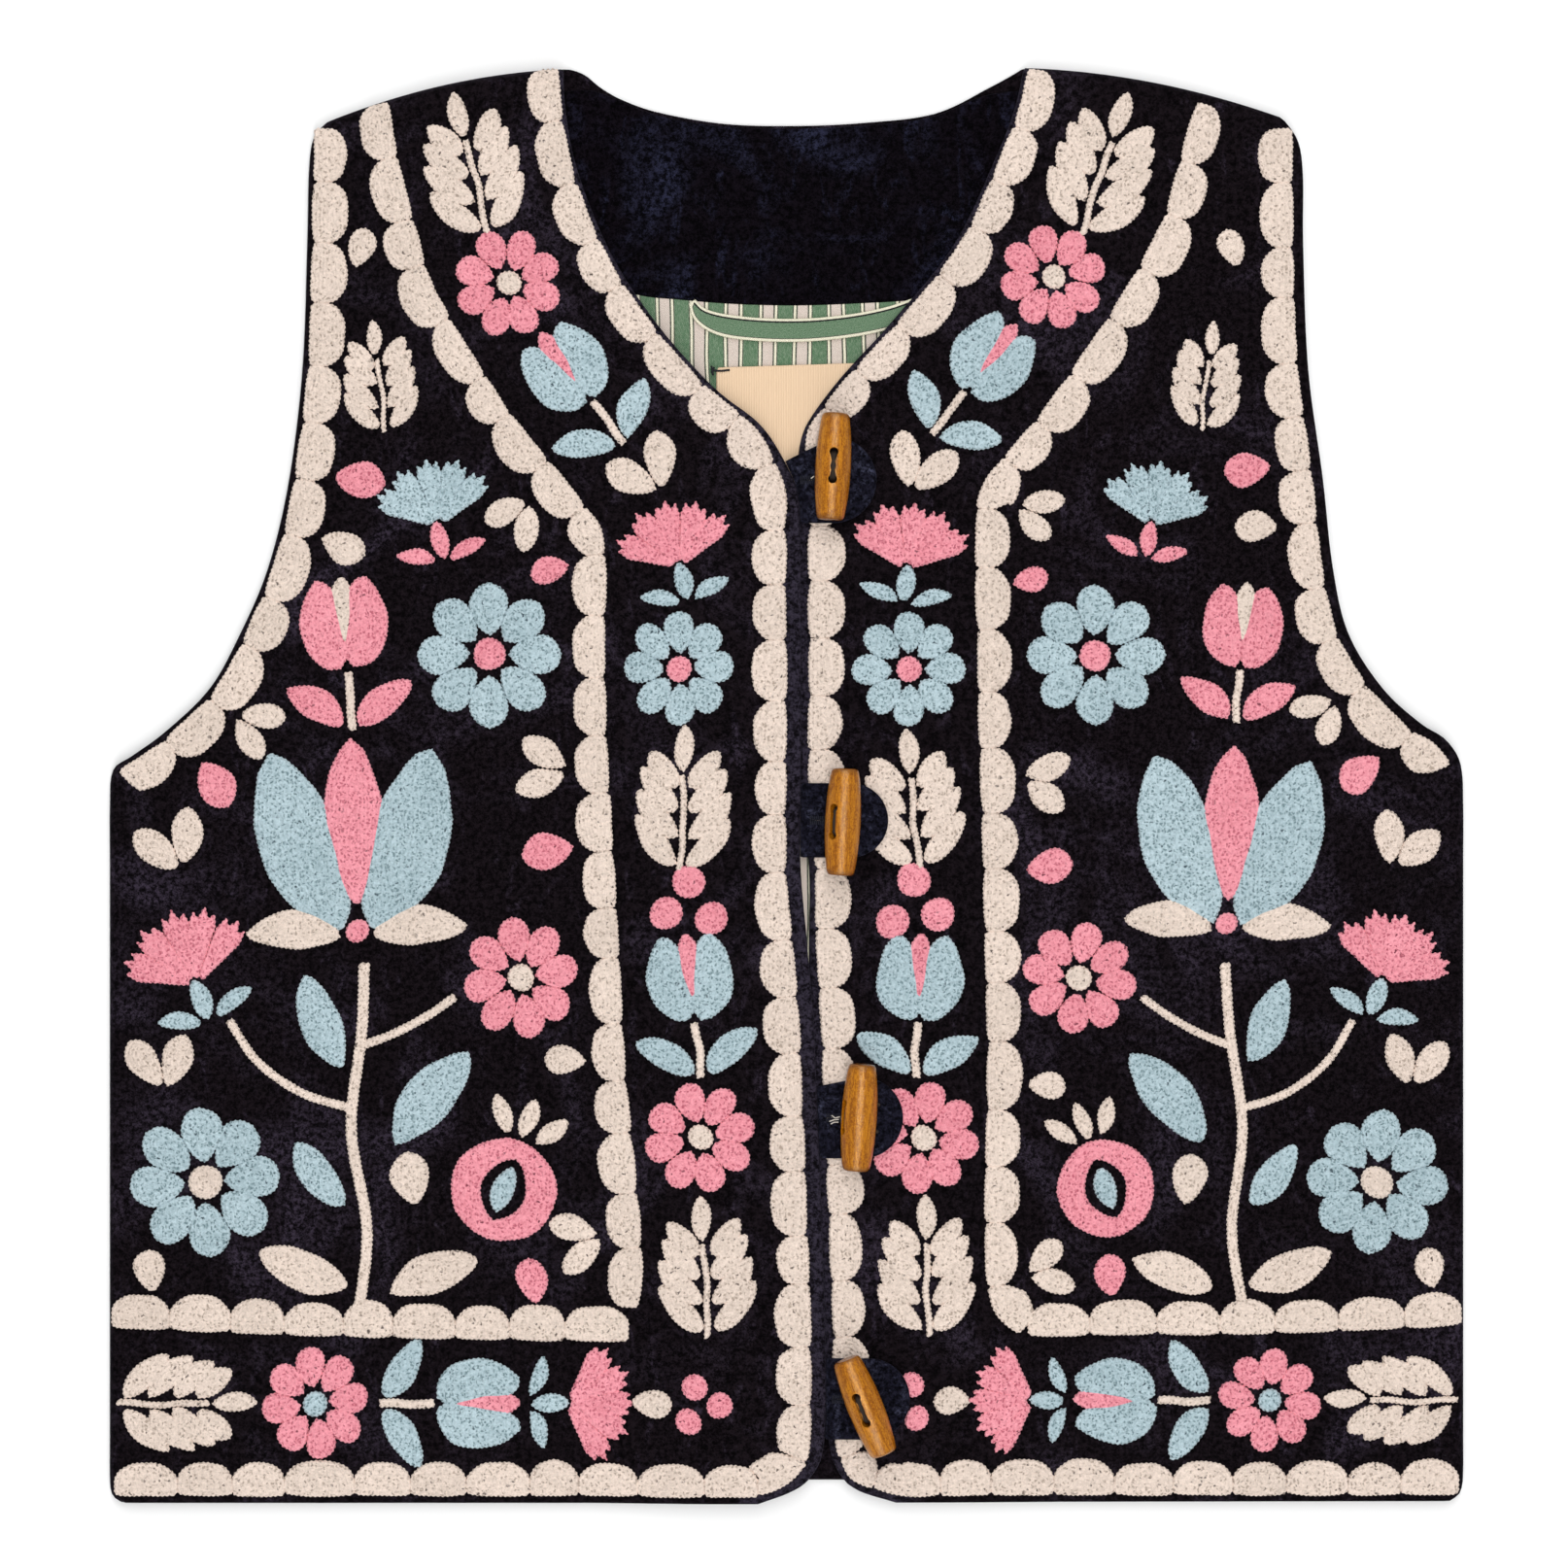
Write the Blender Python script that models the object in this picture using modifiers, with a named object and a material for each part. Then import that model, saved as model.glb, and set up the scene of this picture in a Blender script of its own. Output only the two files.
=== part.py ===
"""Sleeveless velvet jacket laid flat: back, two fronts, lining, scalloped borders, tabs and toggles.

The tables are in millimetres, seen from above with +Y towards the shoulders and the origin under the
middle of the garment, on the surface that it lies on. Right and left are the wearer's: the right front
is on the -X side. Every mesh is made in metres.
"""

import math
from collections import namedtuple

import bmesh
import bpy
import numpy as np
from mathutils import Matrix

MM = 0.001
SHARP_ANGLE = math.radians(40)
MERGE_DISTANCE = 0.00001
COLLECTION = "sleeveless_jacket"
HANDS = ("right", "left")
INWARD = {"right": 1.0, "left": -1.0}

# Layers, from the surface upwards.
GAP = 0.3
BACK_THICK = 2.0
INSIDE_THICK = 1.0
FRONT_THICK = 2.4
BORDER_THICK = 1.2
TAB_THICK = 1.5
INSIDE_Z = BACK_THICK + GAP
ON_LINING_Z = INSIDE_Z + INSIDE_THICK + GAP
FRONT_TOP = ON_LINING_Z + FRONT_THICK

# The front edges stand a little higher than the panels: the right one carries the tabs across.
RIGHT_LIFT = 3.2
LEFT_LIFT = 1.3
LIFT_PLATEAU = 40.0
LIFT_REACH = 95.0
LIFT_COLUMNS = 5
PLAIN_COLUMNS = 2

# Side and shoulder folds are quarter rounds that meet at a seam half way up. The seam is wider
# outside than inside, because each wall's end slants a little.
FOLD_REACH = 3.2
FOLD_ANGLES = (0, 35, 62, 80, 90)
SEAM_Z = 3.05
SEAM_GAP = 0.9

HALF_WIDTH = 260.0
HEM_Y = -275.5

# One row for each section across the garment, from the hem to the shoulder seam.
Section = namedtuple(
    "Section",
    "right_side_x right_side_y right_edge_x right_edge_y left_edge_x left_edge_y left_side_x left_side_y",
)
SECTIONS = (
    Section(-255.5, HEM_Y, -11.0, HEM_Y, 42.0, -275.2, 255.5, -274.8),
    Section(-259.2, -272.5, 2.2, -270.6, 27.0, -270.4, 259.2, -271.0),
    Section(-HALF_WIDTH, -266.0, 9.6, -264.8, 20.2, -264.0, HALF_WIDTH, -263.0),
    Section(-HALF_WIDTH, -252.0, 14.4, -252.0, 16.0, -251.0, HALF_WIDTH, -252.0),
    Section(-HALF_WIDTH, -214.0, 14.9, -214.0, 15.6, -214.0, HALF_WIDTH, -214.0),
    Section(-HALF_WIDTH, -161.0, 13.2, -161.0, 13.9, -161.0, HALF_WIDTH, -161.0),
    Section(-HALF_WIDTH, -94.0, 10.5, -94.0, 11.2, -94.0, HALF_WIDTH, -94.0),
    Section(-HALF_WIDTH, -60.0, 7.8, -60.0, 8.8, -60.0, HALF_WIDTH, -60.0),
    Section(-HALF_WIDTH, -30.0, 5.3, -30.0, 8.5, -30.0, HALF_WIDTH, -30.0),
    Section(-HALF_WIDTH, -8.0, 5.5, 5.0, 6.4, 5.0, HALF_WIDTH, -8.0),
    Section(-258.8, 5.5, 5.5, 40.0, 6.3, 40.0, 259.0, 7.5),
    Section(-251.0, 11.4, 5.4, 70.0, 6.3, 70.0, 253.0, 17.5),
    Section(-238.5, 20.5, 5.2, 96.0, 6.4, 100.0, 243.0, 24.0),
    Section(-221.5, 37.0, 4.2, 112.0, 5.8, 121.0, 228.5, 37.5),
    Section(-209.8, 58.0, -1.8, 126.0, 5.3, 131.5, 215.5, 58.5),
    Section(-199.0, 83.5, -11.0, 139.0, 9.0, 140.5, 209.6, 84.0),
    Section(-191.0, 117.0, -28.0, 152.5, 21.0, 156.5, 205.8, 118.0),
    Section(-185.8, 160.0, -49.5, 176.5, 41.0, 178.5, 200.2, 160.0),
    Section(-184.0, 207.0, -67.4, 204.0, 64.0, 207.0, 198.3, 207.0),
    Section(-183.3, 236.0, -80.3, 236.0, 80.3, 241.0, 198.2, 234.0),
    Section(-181.5, 248.5, -84.8, HALF_WIDTH, 87.6, HALF_WIDTH, 196.2, 247.5),
    Section(-176.0, 255.0, -85.5, 275.0, 91.0, 275.5, 190.0, 256.5),
)
CORNER_ROW = 3
UNDERARM_ROW = 10
SHOULDER_BOW = 4.0
SECTION_STEP = 60.0

# The back's hem and neckline, left open by the fronts.
BACK_HEM_RISE = 8.0
BACK_ARMHOLE_INSET = 1.5
Point = namedtuple("Point", "x y")
BACK_NECK = (
    Point(-72.0, 268.5),
    Point(-49.0, 258.5),
    Point(-24.0, 254.4),
    Point(3.0, 253.6),
    Point(30.0, 254.8),
    Point(57.0, 258.3),
    Point(78.0, 268.3),
)
SHOULDER_PARTS = 4
FOLD_PARTS = 40

# Back neck facing: one row for each fold line across it, from the neckline down to its lower edge.
FacingRow = namedtuple("FacingRow", "top_x top_y low_x low_y")
FACING_ROWS = (
    FacingRow(-108.0, 264.5, -114.0, 250.0),
    FacingRow(-92.0, 265.5, -97.0, 222.0),
    FacingRow(-79.0, 267.0, -80.0, 200.0),
    FacingRow(-70.0, 265.5, -60.0, 189.5),
    FacingRow(-49.0, 257.2, -40.0, 186.8),
    FacingRow(-24.0, 253.1, -19.0, 185.2),
    FacingRow(3.0, 252.3, 4.0, 184.7),
    FacingRow(30.0, 253.5, 28.0, 185.5),
    FacingRow(55.0, 256.6, 51.0, 187.0),
    FacingRow(73.0, 264.0, 71.0, 190.5),
    FacingRow(86.0, 266.5, 88.0, 201.0),
    FacingRow(99.0, 266.0, 105.0, 224.0),
    FacingRow(114.0, 264.0, 122.0, 251.0),
)
FACING_PARTS = 2
LINING_INSET = 7.0
LINING_ROWS = 14
LINING_RIGHT_TOP = (Point(-172.0, 240.0), Point(-142.0, 249.5))
LINING_LEFT_TOP = (Point(150.0, 252.0), Point(186.0, 240.0))
HEM_FACING_DEPTH = 30.0
HEM_FACING_INSET = 1.0
HEM_FACING_PARTS = 12

# The hanging loop's middle line, and the maker's tape below it.
LOOP_LINE = (
    Point(-35.5, 185.0),
    Point(-24.0, 179.0),
    Point(-8.0, 175.4),
    Point(8.0, 174.8),
    Point(26.0, 177.2),
    Point(41.0, 181.6),
    Point(49.5, 185.4),
)
LOOP_WIDTH = 8.0
LOOP_STEP = 8.0
LABEL_X = (-27.0, 43.0)
LABEL_Y = (115.0, 160.0)

# Scalloped borders: lobes that stand on a base line and point into the panel.
LOBE_PITCH = 22.5
LOBE_DEPTH = 11.5
LOBE_ROOT = 5.0
FINE_STEP = 1.5
LINE_STEP = 4.0
LobePoint = namedtuple("LobePoint", "along depth")
LOBE_SHAPE = (
    LobePoint(0.0, 0.0),
    LobePoint(0.17, 0.72),
    LobePoint(0.5, 1.0),
    LobePoint(0.83, 0.72),
)

# How far each border's base line lies inside the cloth's edge, by height.
Margin = namedtuple("Margin", "y inset")
MARGINS = {
    "right": (Margin(HEM_Y, 3.4), Margin(-252.0, 6.0), Margin(100.0, 6.0), Margin(145.0, 2.0)),
    "left": (Margin(HEM_Y, 3.4), Margin(-252.0, 2.8), Margin(100.0, 2.6), Margin(145.0, 2.0)),
}
ARMHOLE_INSET = {"right": 2.5, "left": 4.5}
BORDER_CLEAR = 1.5
HEM_PARTS = 7

# The second border runs down the panel, and along the top of the hem band.
PANEL_LINES = {
    "right": (
        Point(-152.0, 257.0),
        Point(-149.0, 240.0),
        Point(-138.6, 199.0),
        Point(-129.0, 178.6),
        Point(-105.7, 142.0),
        Point(-76.0, 105.0),
        Point(-70.0, 88.0),
        Point(-70.0, 36.0),
        Point(-66.0, -41.0),
        Point(-62.0, -111.0),
        Point(-56.0, -177.0),
        Point(-57.5, -212.5),
    ),
    "left": (
        Point(156.0, 258.0),
        Point(152.0, 243.0),
        Point(142.6, 212.0),
        Point(122.0, 177.0),
        Point(96.0, 140.0),
        Point(76.0, 116.0),
        Point(73.0, 99.0),
        Point(73.6, 49.0),
        Point(76.0, -41.0),
        Point(77.5, -102.0),
        Point(76.5, -157.0),
        Point(79.5, -211.0),
    ),
}
HEM_LINES = {
    "right": (Point(-72.0, -213.0), Point(-170.0, -211.0), Point(-256.0, -207.5)),
    "left": (Point(94.0, -210.5), Point(195.0, -209.6), Point(256.0, -206.5)),
}

# One row for each fastening, from the neck to the hem.
Fastening = namedtuple(
    "Fastening", "tab_low tab_high tab_root_high tab_end toggle_x toggle_y toggle_length tilt roll"
)
FASTENINGS = (
    Fastening(100.3, 133.2, 124.0, 34.5, 17.7, 121.4, 40.8, 3.0, 0.0),
    Fastening(-27.7, 0.8, 0.8, 38.9, 21.4, -14.0, 40.8, 2.7, 35.0),
    Fastening(-142.8, -111.8, -111.8, 44.6, 27.6, -126.6, 40.8, 3.5, 65.0),
    Fastening(-250.5, -219.3, -219.3, 47.2, 29.9, -236.7, 39.0, -22.0, 15.0),
)
TAB_Z = FRONT_TOP + LEFT_LIFT + 2 * GAP + BORDER_THICK
TAB_RAMP = 3.4
TAB_PARTS = 6
TAB_END_ANGLES = (0.0, 30.0, 55.0, 75.0)
SLIT_LENGTH = 17.0
SLIT_WIDTH = 1.2

# Turned toggle: radius and distance from the middle, as shares of the largest radius and half length.
TOGGLE_RADIUS = 6.85
TurnedPoint = namedtuple("TurnedPoint", "radius along")
TOGGLE_PROFILE = (
    TurnedPoint(0.0, 1.0),
    TurnedPoint(0.60, 1.0),
    TurnedPoint(0.76, 0.955),
    TurnedPoint(0.84, 0.80),
    TurnedPoint(0.96, 0.40),
    TurnedPoint(1.0, 0.0),
)
TOGGLE_STEPS = 16
HOLE_SIDES = 8
HOLE_RADIUS = 1.7
HOLE_SPREAD = 5.15
GROOVE_WIDTH = 2.5
GROOVE_DEPTH = 2.2

# Base colour, roughness and metallic value of each sub-part.
Finish = namedtuple("Finish", "colour roughness metallic")
FINISHES = {
    "velvet": Finish((0.006, 0.006, 0.012, 1.0), 0.9, 0.0),
    "lining": Finish((0.12, 0.30, 0.16, 1.0), 0.7, 0.0),
    "tape": Finish((0.87, 0.67, 0.43, 1.0), 0.8, 0.0),
    "cream_stitching": Finish((0.84, 0.72, 0.60, 1.0), 0.85, 0.0),
    "toggle_wood": Finish((0.48, 0.15, 0.012, 1.0), 0.25, 0.0),
}


def clear_scene():
    for obj in list(bpy.data.objects):
        bpy.data.objects.remove(obj, do_unlink=True)


def make_collection(name, hidden=False):
    collection = bpy.data.collections.new(name)
    collection.hide_render = hidden
    bpy.context.scene.collection.children.link(collection)
    return collection


def make_material(name, finish):
    material = bpy.data.materials.new(name)
    material.use_nodes = True
    shader = material.node_tree.nodes["Principled BSDF"]
    shader.inputs["Base Color"].default_value = finish.colour
    shader.inputs["Roughness"].default_value = finish.roughness
    shader.inputs["Metallic"].default_value = finish.metallic
    return material


def add_object(name, mesh, collection, finish=None):
    obj = bpy.data.objects.new(name, mesh)
    collection.objects.link(obj)
    if finish:
        mesh.materials.append(make_material(name, FINISHES[finish]))
    return obj


def catmull_rom(rows, step, length):
    """Rows of numbers on a smooth curve through the given rows, with at most `step` between them."""
    rows = np.array(rows, float)
    padded = np.vstack([2 * rows[0] - rows[1], rows, 2 * rows[-1] - rows[-2]])
    made = [rows[0]]
    for before, start, end, after in zip(padded, padded[1:], padded[2:], padded[3:]):
        count = max(1, math.ceil(length(start, end) / step))
        for share in np.arange(1, count + 1) / count:
            cubic = 3 * start - before - 3 * end + after
            square = 2 * before - 5 * start + 4 * end - after
            made.append(start + share * (end - before) / 2 + share**2 * square / 2 + share**3 * cubic / 2)
    return np.array(made)


def plan_length(start, end):
    return float(np.hypot(*(end - start)[:2]))


def widest_span(start, end):
    return float(np.hypot(*(end - start).reshape(-1, 2).T).max())


def distances(points, line):
    """How far each point lies from a line of straight runs."""
    starts = line[:-1]
    runs = np.diff(line, axis=0)
    to_points = points[:, None, :] - starts[None, :, :]
    shares = (to_points * runs).sum(axis=2) / (runs**2).sum(axis=1)
    nearest = to_points - np.clip(shares, 0.0, 1.0)[..., None] * runs
    return np.hypot(nearest[..., 0], nearest[..., 1]).min(axis=1)


def smoothstep(share):
    share = np.clip(share, 0.0, 1.0)
    return share * share * (3.0 - 2.0 * share)


def fold_rise(points, folds):
    """0 on a fold's outermost line and 1 where the cloth is flat, as a quarter round."""
    nearest = np.min([distances(points, fold) for fold in folds], axis=0)
    inward = np.clip(nearest / FOLD_REACH, 0.0, 1.0)
    return np.sqrt(1.0 - (1.0 - inward) ** 2)


class Garment:
    """Outlines of the panels, worked out once from the sections."""

    def __init__(self):
        rows = catmull_rom(SECTIONS, SECTION_STEP, widest_span)
        last, shoulder = rows[-2], rows[-1]
        gap = plan_length(last[2:4], shoulder[2:4])
        folded = [last + (shoulder - last) * (1.0 - near / gap) for near in fold_offsets()]
        self.rows = np.vstack([rows[:-1], folded])
        self.bows = np.concatenate([np.zeros(len(rows) - 1), np.full(len(folded), SHOULDER_BOW)])
        self.underarm = {
            "right": rows_below(self.rows[:, 0:2], SECTIONS[UNDERARM_ROW][1]),
            "left": rows_below(self.rows[:, 6:8], SECTIONS[UNDERARM_ROW][7]),
        }

    def side(self, hand):
        return self.rows[:, 0:2] if hand == "right" else self.rows[:, 6:8]

    def edge(self, hand):
        return self.rows[:, 2:4] if hand == "right" else self.rows[:, 4:6]

    def shoulder(self, hand, parts):
        shares = np.linspace(0.0, 1.0, parts + 1)
        return section_points(self.edge(hand)[-1], self.side(hand)[-1], shares, SHOULDER_BOW)

    def folds(self, hand):
        return [self.side(hand)[: self.underarm[hand]], self.shoulder(hand, FOLD_PARTS)]

    def opening(self, hand):
        """A front's edge as if its bottom corner were square."""
        edge = self.edge(hand)[CORNER_ROW:]
        return np.vstack([edge[0] + np.array([0.0, self.edge(hand)[0, 1]]), edge])

    def front_top(self, hand, points):
        """Height of a front's upper surface above each point."""
        lift = RIGHT_LIFT if hand == "right" else LEFT_LIFT
        beyond = distances(points, self.opening(hand)) - LIFT_PLATEAU
        flat = FRONT_TOP + lift * smoothstep(1.0 - beyond / (LIFT_REACH - LIFT_PLATEAU))
        seam = SEAM_Z + SEAM_GAP / 2
        return seam + (flat - seam) * fold_rise(points, self.folds(hand))

    def back_underside(self, points):
        seam = SEAM_Z - SEAM_GAP / 2
        folds = self.folds("right") + self.folds("left")
        return seam * (1.0 - fold_rise(points, folds))


def fold_offsets():
    """Distances from a fold's outermost line that give its round a few even facets."""
    return [FOLD_REACH * (1.0 - math.sin(math.radians(angle))) for angle in FOLD_ANGLES]


def rows_below(edge, height):
    return int((edge[:, 1] <= height + 0.01).sum())


def across(start, end, shares):
    return start + (end - start) * np.asarray(shares)[:, None]


def section_points(start, end, shares, bow):
    """Points of one section: a straight run that bows towards the shoulders by so much at its middle."""
    points = across(start, end, shares)
    points[:, 1] += bow * 4.0 * np.asarray(shares) * (1.0 - np.asarray(shares))
    return points


def to_mesh(name, points, faces):
    mesh = bpy.data.meshes.new(name)
    made = bmesh.new()
    verts = [made.verts.new(point) for point in np.asarray(points) * MM]
    for face in faces:
        made.faces.new([verts[i] for i in face])
    made.to_mesh(mesh)
    made.free()
    mesh.shade_smooth()
    mesh.set_sharp_from_angle(angle=SHARP_ANGLE)
    return mesh


def grid_mesh(name, grid, facing_up=True):
    """A mesh of four-sided faces through rows of points, facing up or down."""
    grid = np.asarray(grid, float)
    row_count, column_count = grid.shape[:2]
    faces = []
    for row in range(row_count - 1):
        for column in range(column_count - 1):
            first = row * column_count + column
            face = (first, first + 1, first + 1 + column_count, first + column_count)
            faces.append(face)
    points = grid.reshape(-1, 3)
    corners = points[list(faces[len(faces) // 2])]
    turns_up = np.cross(corners[1] - corners[0], corners[2] - corners[0])[2] > 0
    if turns_up != facing_up:
        faces = [face[::-1] for face in faces]
    return to_mesh(name, points, faces)


def add_panel(name, grid, thickness, collection, finish, facing_up=True):
    """A folded panel: its outer surface, with the wall's thickness inside it."""
    obj = add_object(name, grid_mesh(name, grid, facing_up), collection, finish)
    wall = obj.modifiers.new("Thickness", "SOLIDIFY")
    wall.thickness = thickness * MM
    wall.offset = -1.0
    return obj


def add_raised(name, grid, thickness, collection, finish):
    """A layer on another one: its underside, extruded straight up."""
    mesh = grid_mesh(name, grid)
    made = bmesh.new()
    made.from_mesh(mesh)
    extruded = bmesh.ops.extrude_face_region(made, geom=made.faces[:])
    upper = [part for part in extruded["geom"] if isinstance(part, bmesh.types.BMVert)]
    bmesh.ops.translate(made, vec=(0.0, 0.0, thickness * MM), verts=upper)
    bmesh.ops.recalc_face_normals(made, faces=made.faces[:])
    made.to_mesh(mesh)
    made.free()
    mesh.set_sharp_from_angle(angle=SHARP_ANGLE)
    return add_object(name, mesh, collection, finish)


def with_height(plan, height):
    """Rows of plan points with their heights added."""
    plan = np.asarray(plan, float)
    flat = plan.reshape(-1, 2)
    heights = np.broadcast_to(height(flat) if callable(height) else height, len(flat))
    return np.column_stack([flat, heights]).reshape(*plan.shape[:-1], 3)


def front_columns(width):
    """Distances from the front edge of the lengthwise lines of a front panel."""
    raised = [0.0, LIFT_PLATEAU / 2] + list(np.linspace(LIFT_PLATEAU, LIFT_REACH, LIFT_COLUMNS))
    folded = [width - offset for offset in fold_offsets()]
    if width < LIFT_REACH + 2 * FOLD_REACH:
        raised = list(np.linspace(0.0, width - 2 * FOLD_REACH, len(raised)))
    plain = list(np.linspace(raised[-1], folded[0], PLAIN_COLUMNS + 2)[1:-1])
    return raised + plain + folded


def build_front(garment, hand, collection):
    plan = []
    for edge, side, bow in zip(garment.edge(hand), garment.side(hand), garment.bows):
        width = plan_length(edge, side)
        plan.append(section_points(edge, side, np.array(front_columns(width)) / width, bow))
    grid = with_height(plan, lambda points: garment.front_top(hand, points))
    return add_panel(f"front_{hand}", grid, FRONT_THICK, collection, "velvet")


def back_top_line(garment):
    """The back's shoulders and neckline, from the right shoulder tip to the left one."""
    right = garment.shoulder("right", SHOULDER_PARTS)[::-1]
    left = garment.shoulder("left", SHOULDER_PARTS)
    return np.vstack([right, np.array(BACK_NECK), left])


def patch(low, high, right, left):
    """A sheet between four edges: two across the garment and two along its sides.

    Each row runs straight between the sides, and takes on the bends of the low and the high edge the
    nearer it lies to them.
    """
    shares_x = (run_shares(low) + run_shares(high)) / 2
    bend_low = low - across(low[0], low[-1], shares_x)
    bend_high = high - across(high[0], high[-1], shares_x)
    rows = []
    for start, end, share in zip(right, left, run_shares(right)):
        rows.append(across(start, end, shares_x) + (1.0 - share) ** 3 * bend_low + share**3 * bend_high)
    return np.array(rows)


def run_shares(line):
    lengths = np.concatenate([[0.0], np.cumsum(np.hypot(*np.diff(line, axis=0).T))])
    return lengths / lengths[-1]


def back_outline(garment):
    """The back's hem, top line and two side edges, just inside the fronts at the armholes."""
    top = back_top_line(garment)
    sides = {}
    for hand in HANDS:
        edge = garment.side(hand).copy()
        armhole = slice(garment.underarm[hand], len(edge) - len(FOLD_ANGLES))
        edge[armhole, 0] += INWARD[hand] * BACK_ARMHOLE_INSET
        sides[hand] = edge
    hem = section_points(sides["right"][0], sides["left"][0], run_shares(top), BACK_HEM_RISE)
    return hem, top, sides["right"], sides["left"]


def build_back(garment, collection):
    plan = patch(*back_outline(garment))
    grid = with_height(fold_columns(plan), garment.back_underside)
    return add_panel("back_panel", grid, BACK_THICK, collection, "velvet", facing_up=False)


def fold_columns(plan):
    """The same rows with the columns that a side fold needs next to both ends."""
    rows = []
    for row in plan:
        width = plan_length(row[0], row[-1])
        shares = np.array(fold_offsets()) / width
        right_end = across(row[0], row[-1], shares[::-1])
        left_end = across(row[0], row[-1], 1.0 - shares)
        rows.append(np.vstack([right_end, row[1:-1], left_end]))
    return np.array(rows)


def build_lining(garment, collection):
    """The striped lining between the hem facing and the neck facing."""
    facing_edge = np.array([(row.low_x, row.low_y - GAP) for row in FACING_ROWS])
    right_end, left_end = np.array(LINING_RIGHT_TOP), np.array(LINING_LEFT_TOP)
    top = np.vstack([right_end, facing_edge, left_end])
    hem_y = HEM_Y + HEM_FACING_DEPTH + GAP
    right = inset_side(garment, "right", hem_y, top[0])
    left = inset_side(garment, "left", hem_y, top[-1])
    hem = section_points(right[0], left[0], run_shares(top), BACK_HEM_RISE)
    grid = with_height(patch(hem, top, right, left), INSIDE_Z)
    return add_raised("back_lining", grid, INSIDE_THICK, collection, "lining")


def inset_side(garment, hand, low_y, last):
    """A side edge moved in from the cloth's own, from the given height up to the last point."""
    edge = garment.side(hand) + np.array([INWARD[hand] * LINING_INSET, -2.0])
    first = np.array([-INWARD[hand] * (HALF_WIDTH - LINING_INSET), low_y])
    kept = [point for point in edge if low_y < point[1] - LINING_INSET and point[1] < last[1] - LINING_INSET]
    line = np.vstack([first, kept, last])
    shares = run_shares(line)
    wanted = np.linspace(0.0, 1.0, LINING_ROWS)
    return np.column_stack([np.interp(wanted, shares, line[:, i]) for i in (0, 1)])


def build_hem_facing(collection):
    """The velvet turned in along the back's hem, which shows where the fronts part."""
    shares = np.linspace(0.0, 1.0, HEM_FACING_PARTS + 1)
    end_x = HALF_WIDTH - LINING_INSET
    rows = []
    for depth in (HEM_FACING_INSET, HEM_FACING_DEPTH):
        ends = np.array([(-end_x, HEM_Y + depth), (end_x, HEM_Y + depth)])
        rows.append(section_points(ends[0], ends[1], shares, BACK_HEM_RISE))
    grid = with_height(rows, INSIDE_Z)
    return add_raised("back_hem_facing", grid, INSIDE_THICK, collection, "velvet")


def build_neck_facing(collection):
    shares = np.linspace(0.0, 1.0, FACING_PARTS + 1)
    columns = [across(np.array(row[2:4]), np.array(row[0:2]), shares) for row in FACING_ROWS]
    grid = with_height(np.array(columns), INSIDE_Z)
    return add_raised("back_neck_facing", grid, INSIDE_THICK, collection, "velvet")


def line_normals(line):
    """Unit vectors to the left of a line's direction, at each of its points."""
    along = np.gradient(line, axis=0)
    along /= np.hypot(along[:, 0], along[:, 1])[:, None]
    return np.column_stack([-along[:, 1], along[:, 0]])


def even_line(line, step):
    """Points on a smooth curve through a line, an even distance apart."""
    fine = catmull_rom(line, 1.0, plan_length)
    shares = run_shares(fine)
    length = np.hypot(*np.diff(fine, axis=0).T).sum()
    wanted = np.linspace(0.0, 1.0, max(2, round(length / step)) + 1)
    return np.column_stack([np.interp(wanted, shares, fine[:, i]) for i in (0, 1)])


def build_loop(collection):
    line = even_line(LOOP_LINE, LOOP_STEP)
    sideways = line_normals(line) * LOOP_WIDTH / 2
    grid = with_height(np.stack([line - sideways, line + sideways]), ON_LINING_Z)
    return add_raised("hanging_loop", grid, INSIDE_THICK, collection, "lining")


def build_label(collection):
    corners = np.array([[(x, y) for x in LABEL_X] for y in LABEL_Y])
    grid = with_height(corners, ON_LINING_Z)
    return add_raised("label_tape", grid, INSIDE_THICK, collection, "tape")


def scalloped_strip(line, into_panel):
    """Plan points of a strip with a straight base line and round lobes on its other edge."""
    fine = even_line(line, FINE_STEP)
    sideways = line_normals(fine) * into_panel
    length = np.hypot(*np.diff(fine, axis=0).T).sum()
    lobes = max(1, round(length / LOBE_PITCH))
    shape = [(lobe + point.along, point.depth) for lobe in range(lobes) for point in LOBE_SHAPE]
    along, depths = np.array(shape + [(lobes, 0.0)]).T
    wanted = along / lobes
    shares = run_shares(fine)
    base = np.column_stack([np.interp(wanted, shares, fine[:, i]) for i in (0, 1)])
    away = np.column_stack([np.interp(wanted, shares, sideways[:, i]) for i in (0, 1)])
    reach = LOBE_ROOT + (LOBE_DEPTH - LOBE_ROOT) * depths
    return np.stack([base, base + away * reach[:, None]])


def build_border(garment, hand, name, line, into_panel, collection):
    plan = scalloped_strip(line, into_panel)
    grid = with_height(plan, lambda points: garment.front_top(hand, points) + GAP)
    label = f"border_{name}_{hand}"
    return add_raised(label, grid, BORDER_THICK, collection, "cream_stitching")


def edge_border_line(garment, hand):
    """Base line of the border along neck, opening and hem, from the shoulder to the side."""
    edge = garment.edge(hand)[: 1 - len(FOLD_ANGLES)][::-1]
    corner, side = edge[-1], garment.side(hand)[0]
    hem = across(corner, np.array([side[0], corner[1]]), np.linspace(0.0, 1.0, HEM_PARTS + 1))
    outline = even_line(np.vstack([edge, hem[1:]]), LINE_STEP)
    insets = np.interp(outline[:, 1], *zip(*MARGINS[hand]))
    line = outline - line_normals(outline) * (INWARD[hand] * insets)[:, None]
    below_fold = line[:, 1] < outline[0, 1] - BORDER_CLEAR
    inside_fold = np.abs(line[:, 0]) < abs(side[0]) - BORDER_CLEAR
    return line[below_fold & inside_fold]


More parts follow.
